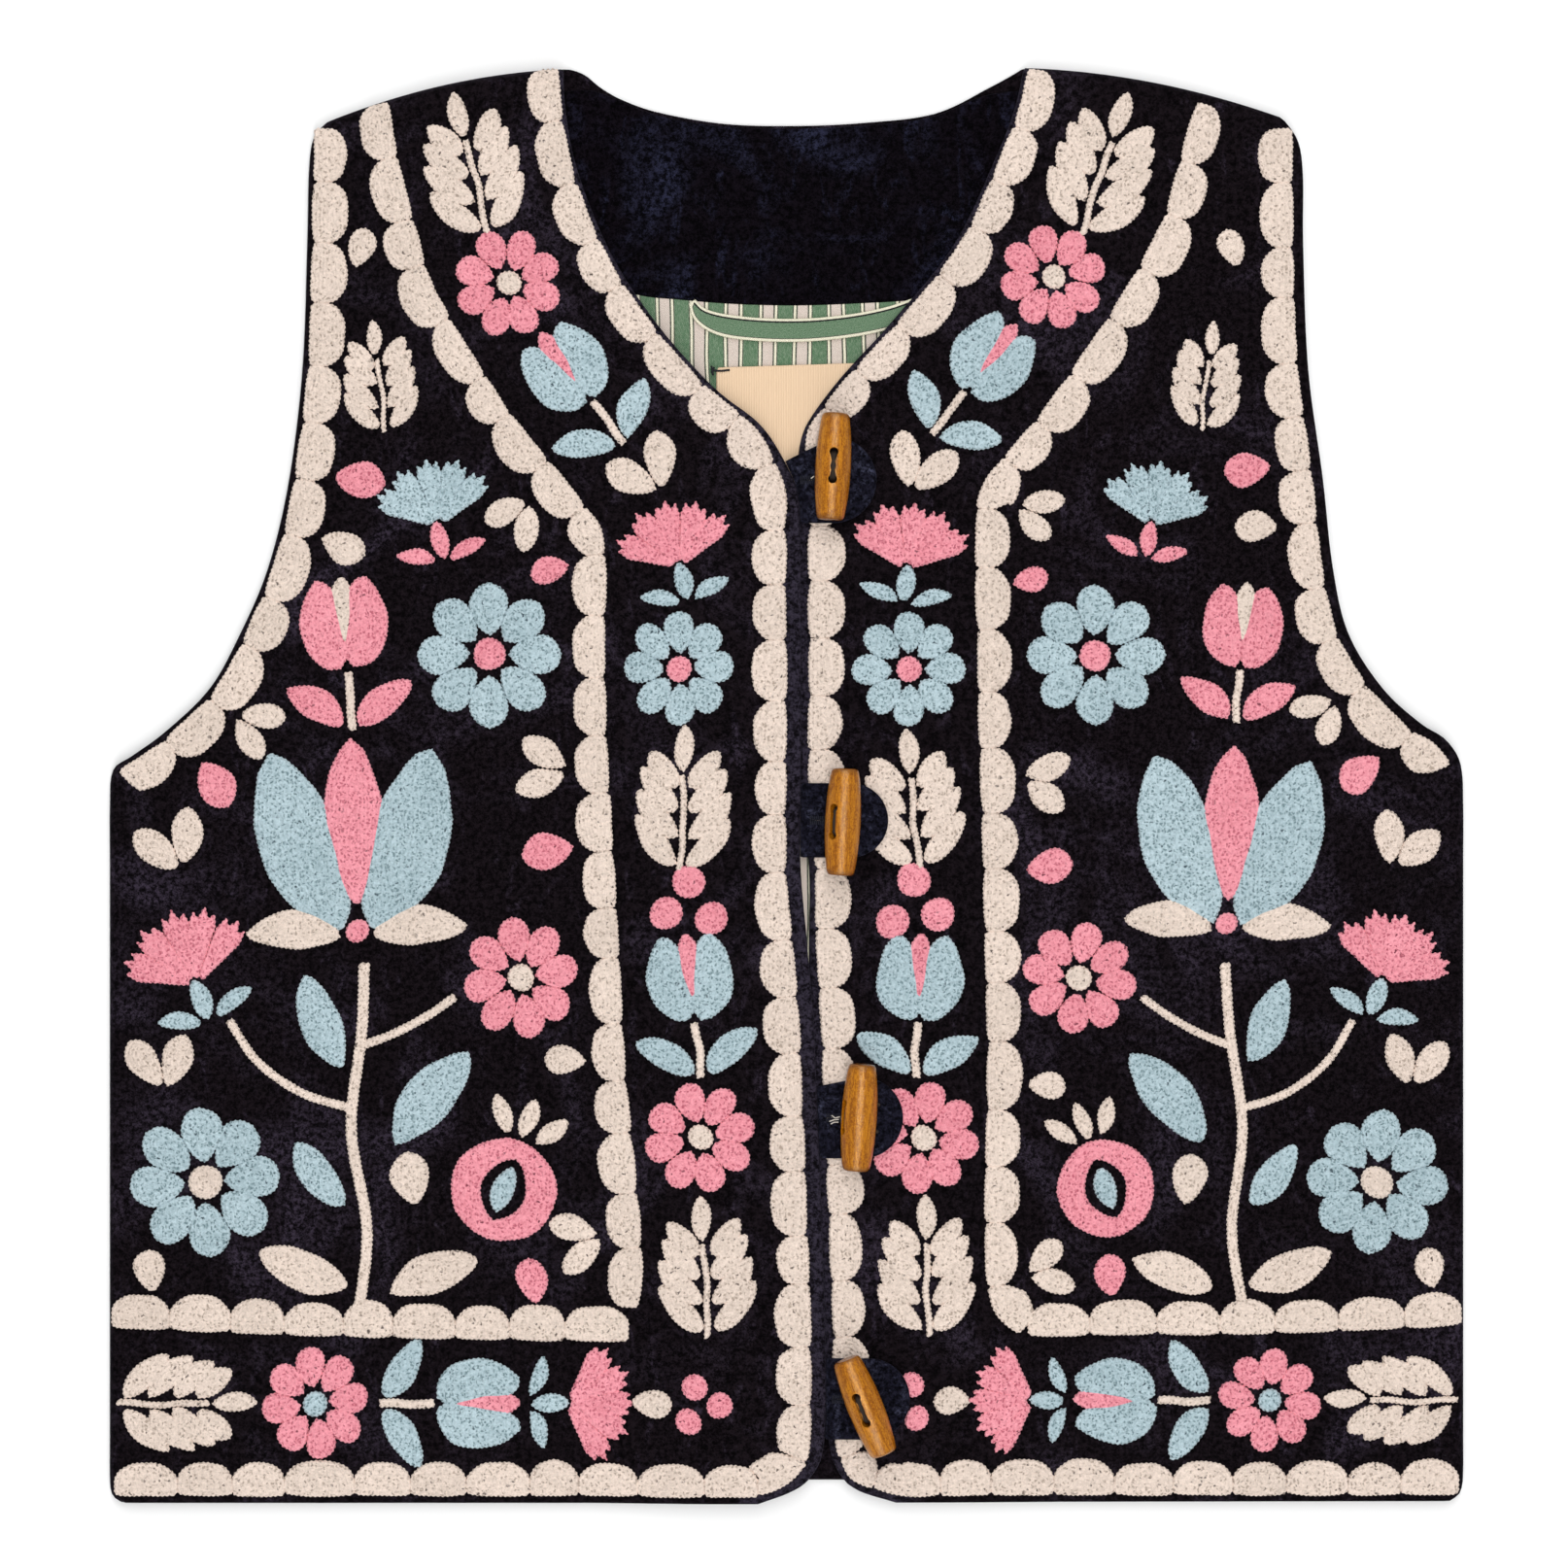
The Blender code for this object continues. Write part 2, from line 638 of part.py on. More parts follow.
def armhole_border_line(garment, hand):
    """Base line of the armhole's border, from the shoulder to the underarm."""
    side = garment.side(hand)[garment.underarm[hand] : -len(FOLD_ANGLES)][::-1]
    line = even_line(side, LINE_STEP)
    return line + line_normals(line) * INWARD[hand] * ARMHOLE_INSET[hand]


def build_borders(garment, collection):
    for hand in HANDS:
        into_panel = -INWARD[hand]
        lines = (
            ("edge", edge_border_line(garment, hand), into_panel),
            ("armhole", armhole_border_line(garment, hand), -into_panel),
            ("panel", PANEL_LINES[hand], into_panel),
            ("hem", HEM_LINES[hand], into_panel),
        )
        for name, line, side in lines:
            build_border(garment, hand, name, line, side, collection)


def edge_x(garment, hand, y):
    edge = garment.edge(hand)
    return float(np.interp(y, edge[:, 1], edge[:, 0]))


def tab_height(x, root_x):
    """Underside of a tab: level with the right front at its root, then over the left border."""
    at_root = FRONT_TOP + RIGHT_LIFT - TAB_THICK
    return at_root + (TAB_Z - at_root) * np.clip((x - root_x) / TAB_RAMP, 0.0, 1.0)


def tab_plan(garment, fastening):
    """Plan points of a tab: lines across it, from the right front's edge to the round end."""
    radius = (fastening.tab_high - fastening.tab_low) / 2
    middle = (fastening.tab_high + fastening.tab_low) / 2
    round_x = fastening.tab_end - radius
    shares = np.linspace(-1.0, 1.0, TAB_PARTS + 1)
    root_y = np.interp(shares, (-1.0, 1.0), (fastening.tab_low, fastening.tab_root_high))
    root_x = np.array([edge_x(garment, "right", y) for y in root_y]) + GAP
    root = np.column_stack([root_x, root_y])
    end = np.column_stack([np.full(len(shares), round_x), middle + shares * radius])
    width = round_x - edge_x(garment, "right", middle)
    reaches = np.array([0.0, TAB_RAMP / 2, TAB_RAMP, (TAB_RAMP + width) / 2]) / width
    lines = [root + (end - root) * reach for reach in reaches]
    for angle in np.radians(TAB_END_ANGLES):
        x = round_x + radius * math.sin(angle)
        y = middle + shares * radius * math.cos(angle)
        lines.append(np.column_stack([np.full(len(shares), x), y]))
    return np.array(lines)


def build_tab(garment, fastening, index, collection):
    """A tab from the right front's edge over the left front, with a round end."""
    plan = tab_plan(garment, fastening)
    heights = tab_height(plan[..., 0], plan[0, :, 0])
    grid = np.concatenate([plan, heights[..., None]], axis=2)
    return add_raised(f"tab_{index}", grid, TAB_THICK, collection, "velvet")


def cut(obj, cutter, name):
    boolean = obj.modifiers.new(name, "BOOLEAN")
    boolean.object = cutter
    boolean.operation = "DIFFERENCE"
    boolean.solver = "EXACT"


def make_cutter(name, mesh, matrix, collection):
    cutter = add_object(name, mesh, collection)
    cutter.matrix_world = matrix
    cutter.hide_render = True
    cutter.display_type = "WIRE"
    return cutter


def box_mesh(name, size_x, size_y, size_z):
    mesh = bpy.data.meshes.new(name)
    made = bmesh.new()
    bmesh.ops.create_cube(made, size=1.0)
    bmesh.ops.scale(made, vec=(size_x * MM, size_y * MM, size_z * MM), verts=made.verts)
    made.to_mesh(mesh)
    made.free()
    return mesh


def cylinder_mesh(name, radius, length):
    mesh = bpy.data.meshes.new(name)
    made = bmesh.new()
    bmesh.ops.create_cone(
        made,
        cap_ends=True,
        segments=HOLE_SIDES,
        radius1=radius * MM,
        radius2=radius * MM,
        depth=length * MM,
        matrix=Matrix.Rotation(math.radians(90), 4, "Y"),
    )
    made.to_mesh(mesh)
    made.free()
    return mesh


def place(x, y, z):
    return Matrix.Translation((x * MM, y * MM, z * MM))


def cut_buttonhole(tab, fastening, index, cutters):
    middle = (fastening.tab_high + fastening.tab_low) / 2
    slit = box_mesh(f"buttonhole_{index}", SLIT_LENGTH, SLIT_WIDTH, 4.0 * TAB_THICK)
    at = place(fastening.toggle_x - SLIT_LENGTH / 4, middle, TAB_Z)
    cut(tab, make_cutter(f"buttonhole_{index}", slit, at, cutters), "Buttonhole")


def toggle_matrix(fastening):
    """Barrel along +Y, its groove up, rolled about itself and then tilted on the cloth."""
    upright = Matrix(((0, 1, 0, 0), (0, 0, 1, 0), (1, 0, 0, 0), (0, 0, 0, 1)))
    rolled = upright @ Matrix.Rotation(math.radians(-fastening.roll), 4, "Z")
    tilted = Matrix.Rotation(math.radians(-fastening.tilt), 4, "Z") @ rolled
    height = TAB_Z + TAB_THICK + GAP + TOGGLE_RADIUS
    return place(fastening.toggle_x, fastening.toggle_y, height) @ tilted


def toggle_profile(length):
    upper = [(point.radius * TOGGLE_RADIUS, point.along * length / 2) for point in TOGGLE_PROFILE]
    lower = [(radius, -height) for radius, height in reversed(upper[:-1])]
    return upper + lower


def build_toggle(fastening, index, collection, cutters):
    name = f"toggle_{index}"
    mesh = bpy.data.meshes.new(name)
    made = bmesh.new()
    points = [(radius * MM, 0.0, height * MM) for radius, height in toggle_profile(fastening.toggle_length)]
    verts = [made.verts.new(point) for point in points]
    for start, end in zip(verts, verts[1:]):
        made.edges.new((start, end))
    made.to_mesh(mesh)
    made.free()
    toggle = add_object(name, mesh, collection, "toggle_wood")
    toggle.matrix_world = toggle_matrix(fastening)
    turn = toggle.modifiers.new("Turned", "SCREW")
    turn.axis = "Z"
    turn.steps = TOGGLE_STEPS
    turn.render_steps = TOGGLE_STEPS
    turn.use_merge_vertices = True
    turn.merge_threshold = MERGE_DISTANCE
    turn.use_smooth_shade = True
    for number, offset in enumerate((-HOLE_SPREAD, HOLE_SPREAD)):
        drill = cylinder_mesh(f"{name}_drill_{number}", HOLE_RADIUS, 3 * TOGGLE_RADIUS)
        at = toggle.matrix_world @ place(0.0, 0.0, offset)
        cut(toggle, make_cutter(f"{name}_drill_{number}", drill, at, cutters), f"Hole {number}")
    groove = box_mesh(f"{name}_groove", 2 * GROOVE_DEPTH, GROOVE_WIDTH, 2 * HOLE_SPREAD)
    at = toggle.matrix_world @ place(TOGGLE_RADIUS, 0.0, 0.0)
    cut(toggle, make_cutter(f"{name}_groove", groove, at, cutters), "Groove")
    return toggle


def main():
    clear_scene()
    parts = make_collection(COLLECTION)
    cutters = make_collection("cutters", hidden=True)
    garment = Garment()
    build_back(garment, parts)
    build_hem_facing(parts)
    build_lining(garment, parts)
    build_neck_facing(parts)
    build_loop(parts)
    build_label(parts)
    for hand in HANDS:
        build_front(garment, hand, parts)
    build_borders(garment, parts)
    for index, fastening in enumerate(FASTENINGS, start=1):
        tab = build_tab(garment, fastening, index, parts)
        cut_buttonhole(tab, fastening, index, cutters)
        build_toggle(fastening, index, parts, cutters)


main()
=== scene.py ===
"""Looks of the sleeveless velvet jacket laid flat: soft cloth, chain stitch and lacquered toggles.

The tables are in millimetres, in the frame of the CAD: +Y towards the shoulders, +Z up, and right and left
are the wearer's, so the right front is on the -X side. Meshes are made in metres. The sections, fastenings
and border lines repeat those of the CAD source.
"""

import math
from collections import namedtuple

import bmesh
import bpy
import numpy as np
from mathutils import Matrix, Vector
from mathutils.geometry import delaunay_2d_cdt


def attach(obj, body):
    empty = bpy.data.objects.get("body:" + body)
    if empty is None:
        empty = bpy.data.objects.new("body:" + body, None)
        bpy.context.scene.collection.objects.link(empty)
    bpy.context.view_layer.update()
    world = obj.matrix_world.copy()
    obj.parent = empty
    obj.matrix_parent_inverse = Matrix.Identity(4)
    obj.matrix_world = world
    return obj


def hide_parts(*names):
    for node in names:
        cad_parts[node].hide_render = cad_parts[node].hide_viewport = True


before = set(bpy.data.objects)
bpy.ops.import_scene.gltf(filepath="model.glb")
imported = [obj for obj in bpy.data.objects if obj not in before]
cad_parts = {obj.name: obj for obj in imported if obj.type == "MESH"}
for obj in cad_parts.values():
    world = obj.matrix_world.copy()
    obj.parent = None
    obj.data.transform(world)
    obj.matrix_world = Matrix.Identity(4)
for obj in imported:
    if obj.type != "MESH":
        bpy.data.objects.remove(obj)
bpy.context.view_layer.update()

MM = 0.001
BODY = "root"
HANDS = ("right", "left")
INWARD = {"right": 1.0, "left": -1.0}

# Camera straight above the jacket, and the studio round it. Places are in metres, powers in watts.
CAMERA_X = -0.0010
CAMERA_Y = 0.00045
CAMERA_HEIGHT = 1.6767
LENS_MM = 100.0
SENSOR_MM = 36.0
FLOOR_HALF = 3.0
WORLD_STRENGTH = 0.32
Lamp = namedtuple("Lamp", "name x y z width length power")
LAMPS = (
    Lamp("soft_strip", 0.10, 0.0, 1.8, 0.16, 2.25, 20.0),
    Lamp("soft_north", 0.0, 1.7, 1.42, 1.6, 1.6, 19.5),
    Lamp("soft_south", 0.0, -1.7, 1.42, 1.6, 1.6, 18.0),
)

# Layers of cloth, from the surface upwards.
GAP = 0.3
BACK_THICK = 2.0
INSIDE_THICK = 1.0
FRONT_THICK = 2.4
BORDER_THICK = 1.2
TAB_THICK = 1.5
INSIDE_Z = BACK_THICK + GAP
ON_LINING_Z = INSIDE_Z + INSIDE_THICK + GAP
FRONT_TOP = ON_LINING_Z + FRONT_THICK
RIGHT_LIFT = 3.2
LEFT_LIFT = 1.3
LIFT_PLATEAU = 40.0
LIFT_REACH = 95.0
FOLD_REACH = 3.2
SEAM_Z = 3.05
THINNEST = 0.02
EDGE_ROUND = 1.2

HALF_WIDTH = 260.0
HEM_Y = -275.5
CORNER_Y = -252.5

# One row for each section across the garment, from the hem to the shoulder seam. The left front's edge runs
# on a little under the right front, where the CAD keeps them apart.
TUCK_DEPTH = 1.0
TUCK_WIDTH = 3.0
Section = namedtuple(
    "Section",
    "right_side_x right_side_y right_edge_x right_edge_y left_edge_x left_edge_y left_side_x left_side_y",
)
SECTIONS = (
    Section(-255.5, HEM_Y, -11.0, HEM_Y, 42.0, -275.2, 255.5, -274.8),
    Section(-259.2, -272.5, 2.2, -270.6, 27.0, -270.4, 259.2, -271.0),
    Section(-HALF_WIDTH, -266.0, 9.6, -264.8, 20.2, -264.0, HALF_WIDTH, -263.0),
    Section(-HALF_WIDTH, -252.0, 14.4, -252.0, 16.0, -251.0, HALF_WIDTH, -252.0),
    Section(-HALF_WIDTH, -214.0, 14.9, -214.0, 13.2, -214.0, HALF_WIDTH, -214.0),
    Section(-HALF_WIDTH, -161.0, 13.2, -161.0, 11.5, -161.0, HALF_WIDTH, -161.0),
    Section(-HALF_WIDTH, -94.0, 10.5, -94.0, 8.9, -94.0, HALF_WIDTH, -94.0),
    Section(-HALF_WIDTH, -60.0, 7.8, -60.0, 8.6, -60.0, HALF_WIDTH, -60.0),
    Section(-HALF_WIDTH, -30.0, 5.3, -30.0, 8.5, -30.0, HALF_WIDTH, -30.0),
    Section(-HALF_WIDTH, -8.0, 5.5, 5.0, 4.0, 5.0, HALF_WIDTH, -8.0),
    Section(-258.8, 5.5, 5.5, 40.0, 3.9, 40.0, 259.0, 7.5),
    Section(-251.0, 11.4, 5.4, 70.0, 3.8, 70.0, 253.0, 17.5),
    Section(-238.5, 20.5, 5.2, 96.0, 3.8, 100.0, 243.0, 24.0),
    Section(-221.5, 37.0, 4.2, 112.0, 4.2, 121.0, 228.5, 37.5),
    Section(-209.8, 58.0, -1.8, 126.0, 5.3, 131.5, 215.5, 58.5),
    Section(-199.0, 83.5, -11.0, 139.0, 9.0, 140.5, 209.6, 84.0),
    Section(-191.0, 117.0, -28.0, 152.5, 21.0, 156.5, 205.8, 118.0),
    Section(-185.8, 160.0, -49.5, 176.5, 41.0, 178.5, 200.2, 160.0),
    Section(-184.0, 207.0, -67.4, 204.0, 64.0, 207.0, 198.3, 207.0),
    Section(-183.3, 236.0, -80.3, 236.0, 80.3, 241.0, 198.2, 234.0),
    Section(-181.5, 248.5, -84.8, HALF_WIDTH, 87.6, HALF_WIDTH, 196.2, 247.5),
    Section(-176.0, 255.0, -85.5, 275.0, 91.0, 275.5, 190.0, 256.5),
)
UNDERARM_ROW = 10
SHOULDER_BOW = 4.0
SECTION_STEP = 5.0
OUTLINE_STEP = 2.5

BACK_HEM_RISE = 8.0
BACK_ARMHOLE_INSET = 1.5
Point = namedtuple("Point", "x y")
BACK_NECK = (
    Point(-82.3, 275.0), Point(-77.1, 272.9), Point(-72.0, 268.6), Point(-63.5, 263.7),
    Point(-49.0, 258.7), Point(-24.0, 254.4), Point(3.0, 253.6), Point(30.0, 254.8), Point(57.0, 258.3),
    Point(78.0, 268.3),
)
FacingRow = namedtuple("FacingRow", "top_x top_y low_x low_y")
FACING_ROWS = (
    FacingRow(-108.0, 264.5, -114.0, 250.0),
    FacingRow(-92.0, 265.5, -97.0, 222.0),
    FacingRow(-79.0, 267.0, -80.0, 200.0),
    FacingRow(-70.0, 265.5, -60.0, 189.5),
    FacingRow(-49.0, 257.2, -40.0, 186.8),
    FacingRow(-24.0, 253.1, -19.0, 185.2),
    FacingRow(3.0, 252.3, 4.0, 184.7),
    FacingRow(30.0, 253.5, 28.0, 185.5),
    FacingRow(55.0, 256.6, 51.0, 187.0),
    FacingRow(73.0, 264.0, 71.0, 190.5),
    FacingRow(86.0, 266.5, 88.0, 201.0),
    FacingRow(99.0, 266.0, 105.0, 224.0),
    FacingRow(114.0, 264.0, 122.0, 251.0),
)
LINING_INSET = 7.0
HEM_FACING_DEPTH = 30.0
LoopPoint = namedtuple("LoopPoint", "x y width")
LOOP_LINE = (
    LoopPoint(-36.4, 185.8, 3.0),
    LoopPoint(-32.6, 180.2, 6.4),
    LoopPoint(-24.0, 176.6, 8.6),
    LoopPoint(-9.0, 174.9, 8.9),
    LoopPoint(8.0, 174.8, 8.9),
    LoopPoint(25.0, 176.5, 8.8),
    LoopPoint(39.0, 179.3, 8.7),
    LoopPoint(49.5, 182.8, 8.6),
)
LABEL_CORNERS = (Point(-27.0, 115.0), Point(43.0, 115.0), Point(43.0, 162.6), Point(-27.0, 160.4))

# Soft ridges and troughs of the velvet: middle, half length, direction, half width and height.
Crease = namedtuple("Crease", "x y reach turn width height")
CREASES = {
    "right": (
        Crease(-205.0, 8.0, 55.0, 62.0, 9.0, -0.7),
        Crease(-222.0, -18.0, 60.0, 52.0, 8.0, 0.8),
        Crease(-120.0, 15.0, 60.0, 96.0, 10.0, 0.5),
        Crease(-236.0, -120.0, 70.0, 84.0, 12.0, 0.7),
        Crease(-190.0, -230.0, 45.0, 8.0, 9.0, -0.5),
        Crease(-95.0, -150.0, 70.0, 100.0, 13.0, -0.5),
        Crease(-150.0, 190.0, 40.0, 75.0, 8.0, 0.5),
        Crease(-110.0, 226.0, 38.0, 58.0, 7.0, -0.5),
        Crease(-45.0, 20.0, 46.0, 88.0, 8.0, -0.4),
        Crease(-130.0, -262.0, 80.0, 3.0, 7.0, 0.5),
    ),
    "left": (
        Crease(212.0, 14.0, 58.0, 118.0, 9.0, -0.7),
        Crease(228.0, -20.0, 52.0, 130.0, 8.0, 0.7),
        Crease(118.0, 60.0, 58.0, 82.0, 10.0, 0.5),
        Crease(240.0, -140.0, 64.0, 94.0, 12.0, 0.6),
        Crease(180.0, -238.0, 50.0, 172.0, 9.0, -0.5),
        Crease(104.0, -120.0, 66.0, 84.0, 12.0, -0.5),
        Crease(165.0, 196.0, 36.0, 104.0, 8.0, 0.5),
        Crease(112.0, 232.0, 34.0, 122.0, 7.0, -0.5),
        Crease(150.0, -264.0, 70.0, 177.0, 7.0, 0.5),
    ),
    "back": (
        Crease(-45.0, 214.0, 34.0, 96.0, 5.0, 0.7),
        Crease(8.0, 236.0, 30.0, 56.0, 5.0, 0.6),
        Crease(44.0, 206.0, 30.0, 62.0, 4.5, 0.7),
        Crease(-12.0, 205.0, 26.0, 84.0, 5.0, -0.5),
        Crease(62.0, 236.0, 26.0, 104.0, 5.0, -0.4),
    ),
}

# Scalloped borders: the base line's distance inside the cloth's edge by height, then one lobe's outline.
Margin = namedtuple("Margin", "y inset")
MARGINS = {
    "right": (Margin(HEM_Y, 3.4), Margin(-252.0, 6.0), Margin(100.0, 6.0), Margin(145.0, 2.0)),
    "left": (
        Margin(HEM_Y, 3.4),
        Margin(-252.0, 2.8),
        Margin(-214.0, 5.2),
        Margin(-94.0, 5.0),
        Margin(-60.0, 3.0),
        Margin(-30.0, 2.7),
        Margin(5.0, 5.1),
        Margin(100.0, 5.2),
        Margin(121.0, 3.9),
        Margin(131.0, 2.4),
        Margin(145.0, 2.0),
    ),
}
ARMHOLE_INSET = {"right": 2.5, "left": 4.5}
ARMHOLE_BORDER_STRAIGHT = 238.0
ARMHOLE_BORDER_TOP = 252.0
LOBE_PITCH = 22.5
LOBE_DEPTH = 12.3
LOBE_VARIETY = 2.6
LOBE_OVERLAP = 0.35
LobePoint = namedtuple("LobePoint", "along depth")
LOBE_OUTLINE = (
    LobePoint(0.10, -0.03), LobePoint(0.50, -0.06), LobePoint(0.90, -0.03), LobePoint(0.985, 0.06),
    LobePoint(1.005, 0.21), LobePoint(1.00, 0.38), LobePoint(0.98, 0.55), LobePoint(0.93, 0.73),
    LobePoint(0.83, 0.90), LobePoint(0.69, 1.00), LobePoint(0.50, 1.04), LobePoint(0.31, 1.00),
    LobePoint(0.17, 0.90), LobePoint(0.07, 0.73), LobePoint(0.02, 0.55), LobePoint(0.00, 0.38),
    LobePoint(-0.005, 0.21), LobePoint(0.015, 0.06),
)
LINE_STEP = 1.5
HEM_PARTS = 7
PANEL_LINES = {
    "right": (
        Point(-153.0, 262.0), Point(-149.0, 240.0), Point(-138.6, 199.0), Point(-129.0, 178.6),
        Point(-105.7, 142.0), Point(-76.0, 105.0), Point(-70.0, 88.0), Point(-70.0, 36.0),
        Point(-66.0, -41.0), Point(-62.0, -111.0), Point(-56.0, -177.0), Point(-57.0, -200.5),
    ),
    "left": (
        Point(157.5, 262.0), Point(152.0, 243.0), Point(142.6, 212.0), Point(122.0, 177.0),
        Point(96.0, 140.0), Point(76.0, 116.0), Point(73.0, 99.0), Point(73.6, 49.0), Point(76.0, -41.0),
        Point(77.5, -102.0), Point(76.5, -157.0), Point(77.0, -188.0), Point(80.0, -201.0),
        Point(89.0, -210.6),
    ),
}
HEM_LINES = {
    "right": (Point(-60.5, -213.0), Point(-170.0, -211.0), Point(-259.3, -207.5)),
    "left": (Point(92.5, -210.8), Point(195.0, -209.6), Point(259.3, -206.5)),
}

# Embroidery on the panels. A motif grows along +Y from its foot before it is turned, and x and y place
# its middle. The rows are for the right front, and on the left one they fit its narrower panel. Each row
# names the motif's colour, and then a second one where that isn't cream.
Motif = namedtuple("Motif", "kind x y turn size colour second", defaults=("cream",))
MOTIF_SCALE = {"right": 1.0, "left": 0.94}
PANEL_MOTIFS = (
    Motif("lily", -166.0, -22.0, 2.0, 82.0, "blue", "pink"),
    Motif("carnation", -229.0, -69.0, 20.0, 49.0, "pink", "blue"),
    Motif("daisy", -102.0, -74.0, 10.0, 46.0, "pink"),
    Motif("daisy", -223.0, -152.0, 5.0, 57.0, "blue"),
    Motif("pomegranate", -106.0, -147.0, -20.0, 61.0, "pink", "blue"),
    Motif("tulip", -169.0, 51.0, 4.0, 57.0, "pink"),
    Motif("daisy", -114.0, 50.0, 0.0, 55.0, "blue", "pink"),
    Motif("carnation", -135.0, 106.0, 10.0, 44.0, "blue", "pink"),
    Motif("fern", -156.0, 157.0, 6.0, 42.0, "cream"),
    Motif("drop", -163.5, 206.0, -14.0, 15.5, "cream"),
    Motif("pair", -240.0, -106.0, 8.0, 21.0, "cream"),
    Motif("pair", -236.0, -22.0, 24.0, 22.0, "cream"),
    Motif("drop", -144.0, -151.0, 8.0, 21.0, "cream"),
    Motif("leaf", -186.0, -186.0, 76.0, 38.0, "cream"),
    Motif("leaf", -136.0, -187.0, -62.0, 36.0, "cream"),
    Motif("leaf", -137.0, -119.0, -32.0, 46.0, "blue"),
    Motif("leaf", -179.0, -91.0, 30.0, 38.0, "blue"),
    Motif("leaf", -180.0, -150.0, 46.0, 32.0, "blue"),
)
# Small motifs that grow away from the panel's borders: share of the line, and distance from it.
Sprig = namedtuple("Sprig", "line share across kind turn size colour second", defaults=("cream",))
PANEL_SPRIGS = (
    Sprig("armhole", 0.485, 24.0, "drop", 0.0, 20.0, "pink"),
    Sprig("armhole", 0.575, 23.0, "drop", -8.0, 18.0, "cream"),
    Sprig("armhole", 0.825, 21.0, "pair", 6.0, 18.0, "cream"),
    Sprig("armhole", 0.905, 25.0, "drop", -10.0, 20.0, "pink"),
    Sprig("panel", 0.335, 24.0, "pair", 14.0, 18.0, "cream"),
    Sprig("panel", 0.415, 21.0, "drop", 12.0, 15.0, "pink"),
    Sprig("panel", 0.57, 25.0, "pair", -10.0, 20.0, "cream"),
    Sprig("panel", 0.635, 25.0, "drop", 6.0, 20.0, "pink"),
    Sprig("panel", 0.80, 23.0, "drop", -8.0, 16.0, "cream"),
    Sprig("panel", 0.945, 24.0, "pair", 12.0, 19.0, "cream"),
    Sprig("hem", 0.19, 22.5, "drop", 10.0, 18.0, "pink"),
    Sprig("hem", 0.93, 22.0, "drop", 8.0, 17.0, "cream"),
)
Stem = namedtuple("Stem", "width points")
PANEL_STEMS = (
    Stem(4.4, (Point(-164, -202), Point(-161, -170), Point(-167, -132), Point(-163, -95),
               Point(-162, -68))),
    Stem(3.4, (Point(-167, -124), Point(-186, -118), Point(-203, -106), Point(-214, -90))),
    Stem(3.4, (Point(-163, -100), Point(-150, -95), Point(-137, -88), Point(-127, -81))),
)

# Bands between two borders: middle lines from the side or hem end, and motifs by distance along them.
BAND_LINES = {
    "front_right": (
        Point(-30, -204), Point(-34, -120), Point(-38, -40), Point(-41, 40), Point(-42, 88),
        Point(-52, 118), Point(-72, 143), Point(-97, 177), Point(-109, 198), Point(-121, 240),
        Point(-125, 270),
    ),
    "front_left": (
        Point(54, -204), Point(52, -120), Point(49, -40), Point(47, 40), Point(47, 88), Point(50, 118),
        Point(62, 141), Point(89, 177), Point(105, 200), Point(122, 240), Point(127, 270),
    ),
    "hem_right": (Point(-258, -237), Point(-150, -237), Point(-10, -237)),
    "hem_left": (Point(258, -236), Point(150, -236), Point(24, -236)),
}
BandMotif = namedtuple("BandMotif", "kind along turn size colour second", defaults=("cream",))
BAND_MOTIFS = {
    "front": (
        BandMotif("fern", 20.0, 0.0, 52.0, "cream"),
        BandMotif("daisy", 69.0, 12.0, 43.0, "pink"),
        BandMotif("tulip", 120.0, 4.0, 54.0, "blue", "pink"),
        BandMotif("berries", 160.0, 0.0, 24.0, "pink"),
        BandMotif("fern", 199.0, -4.0, 54.0, "cream"),
        BandMotif("daisy", 249.0, 0.0, 44.0, "blue", "pink"),
        BandMotif("carnation", 294.0, 4.0, 44.0, "pink", "blue"),
        BandMotif("pair", 328.0, 0.0, 22.0, "cream"),
        BandMotif("tulip", 367.0, 0.0, 52.0, "blue", "pink"),
        BandMotif("daisy", 416.0, 0.0, 41.0, "pink"),
        BandMotif("fern", 464.0, 0.0, 54.0, "cream"),
    ),
    "hem": (
        BandMotif("fern", 28.0, 0.0, 52.0, "cream"),
        BandMotif("daisy", 77.0, 8.0, 43.0, "pink", "blue"),
        BandMotif("tulip", 129.0, 0.0, 56.0, "blue", "pink"),
        BandMotif("carnation", 180.0, 0.0, 44.0, "pink", "blue"),
        BandMotif("drop", 206.0, 0.0, 16.0, "cream"),
        BandMotif("berries", 226.5, 0.0, 19.0, "pink"),
    ),
}

# Raised chain stitch: height, the round of its edge, and how finely it is meshed.
EDGE_SHEEN_REACH = 4.5
STITCH_HEIGHT = 1.1
STITCH_ROUND = 1.0
STITCH_CROWN = 5.0
STITCH_BASE = -0.2
STITCH_EDGE_STEP = 0.9
STITCH_WAVE = 0.27
STITCH_RINGS = (0.35, 1.0)
STITCH_STEP = 1.6
CLOTH_STEP = 4.0
CLOTH_RINGS = (0.15, 0.45, 0.9, 1.5, 2.3, 3.2)
THIN_STEP = 2.0
THIN_RINGS = (0.12, 0.35, 0.7)
LOOP_RINGS = (0.15, 0.5, 0.95, 1.1, 1.3, 1.6)

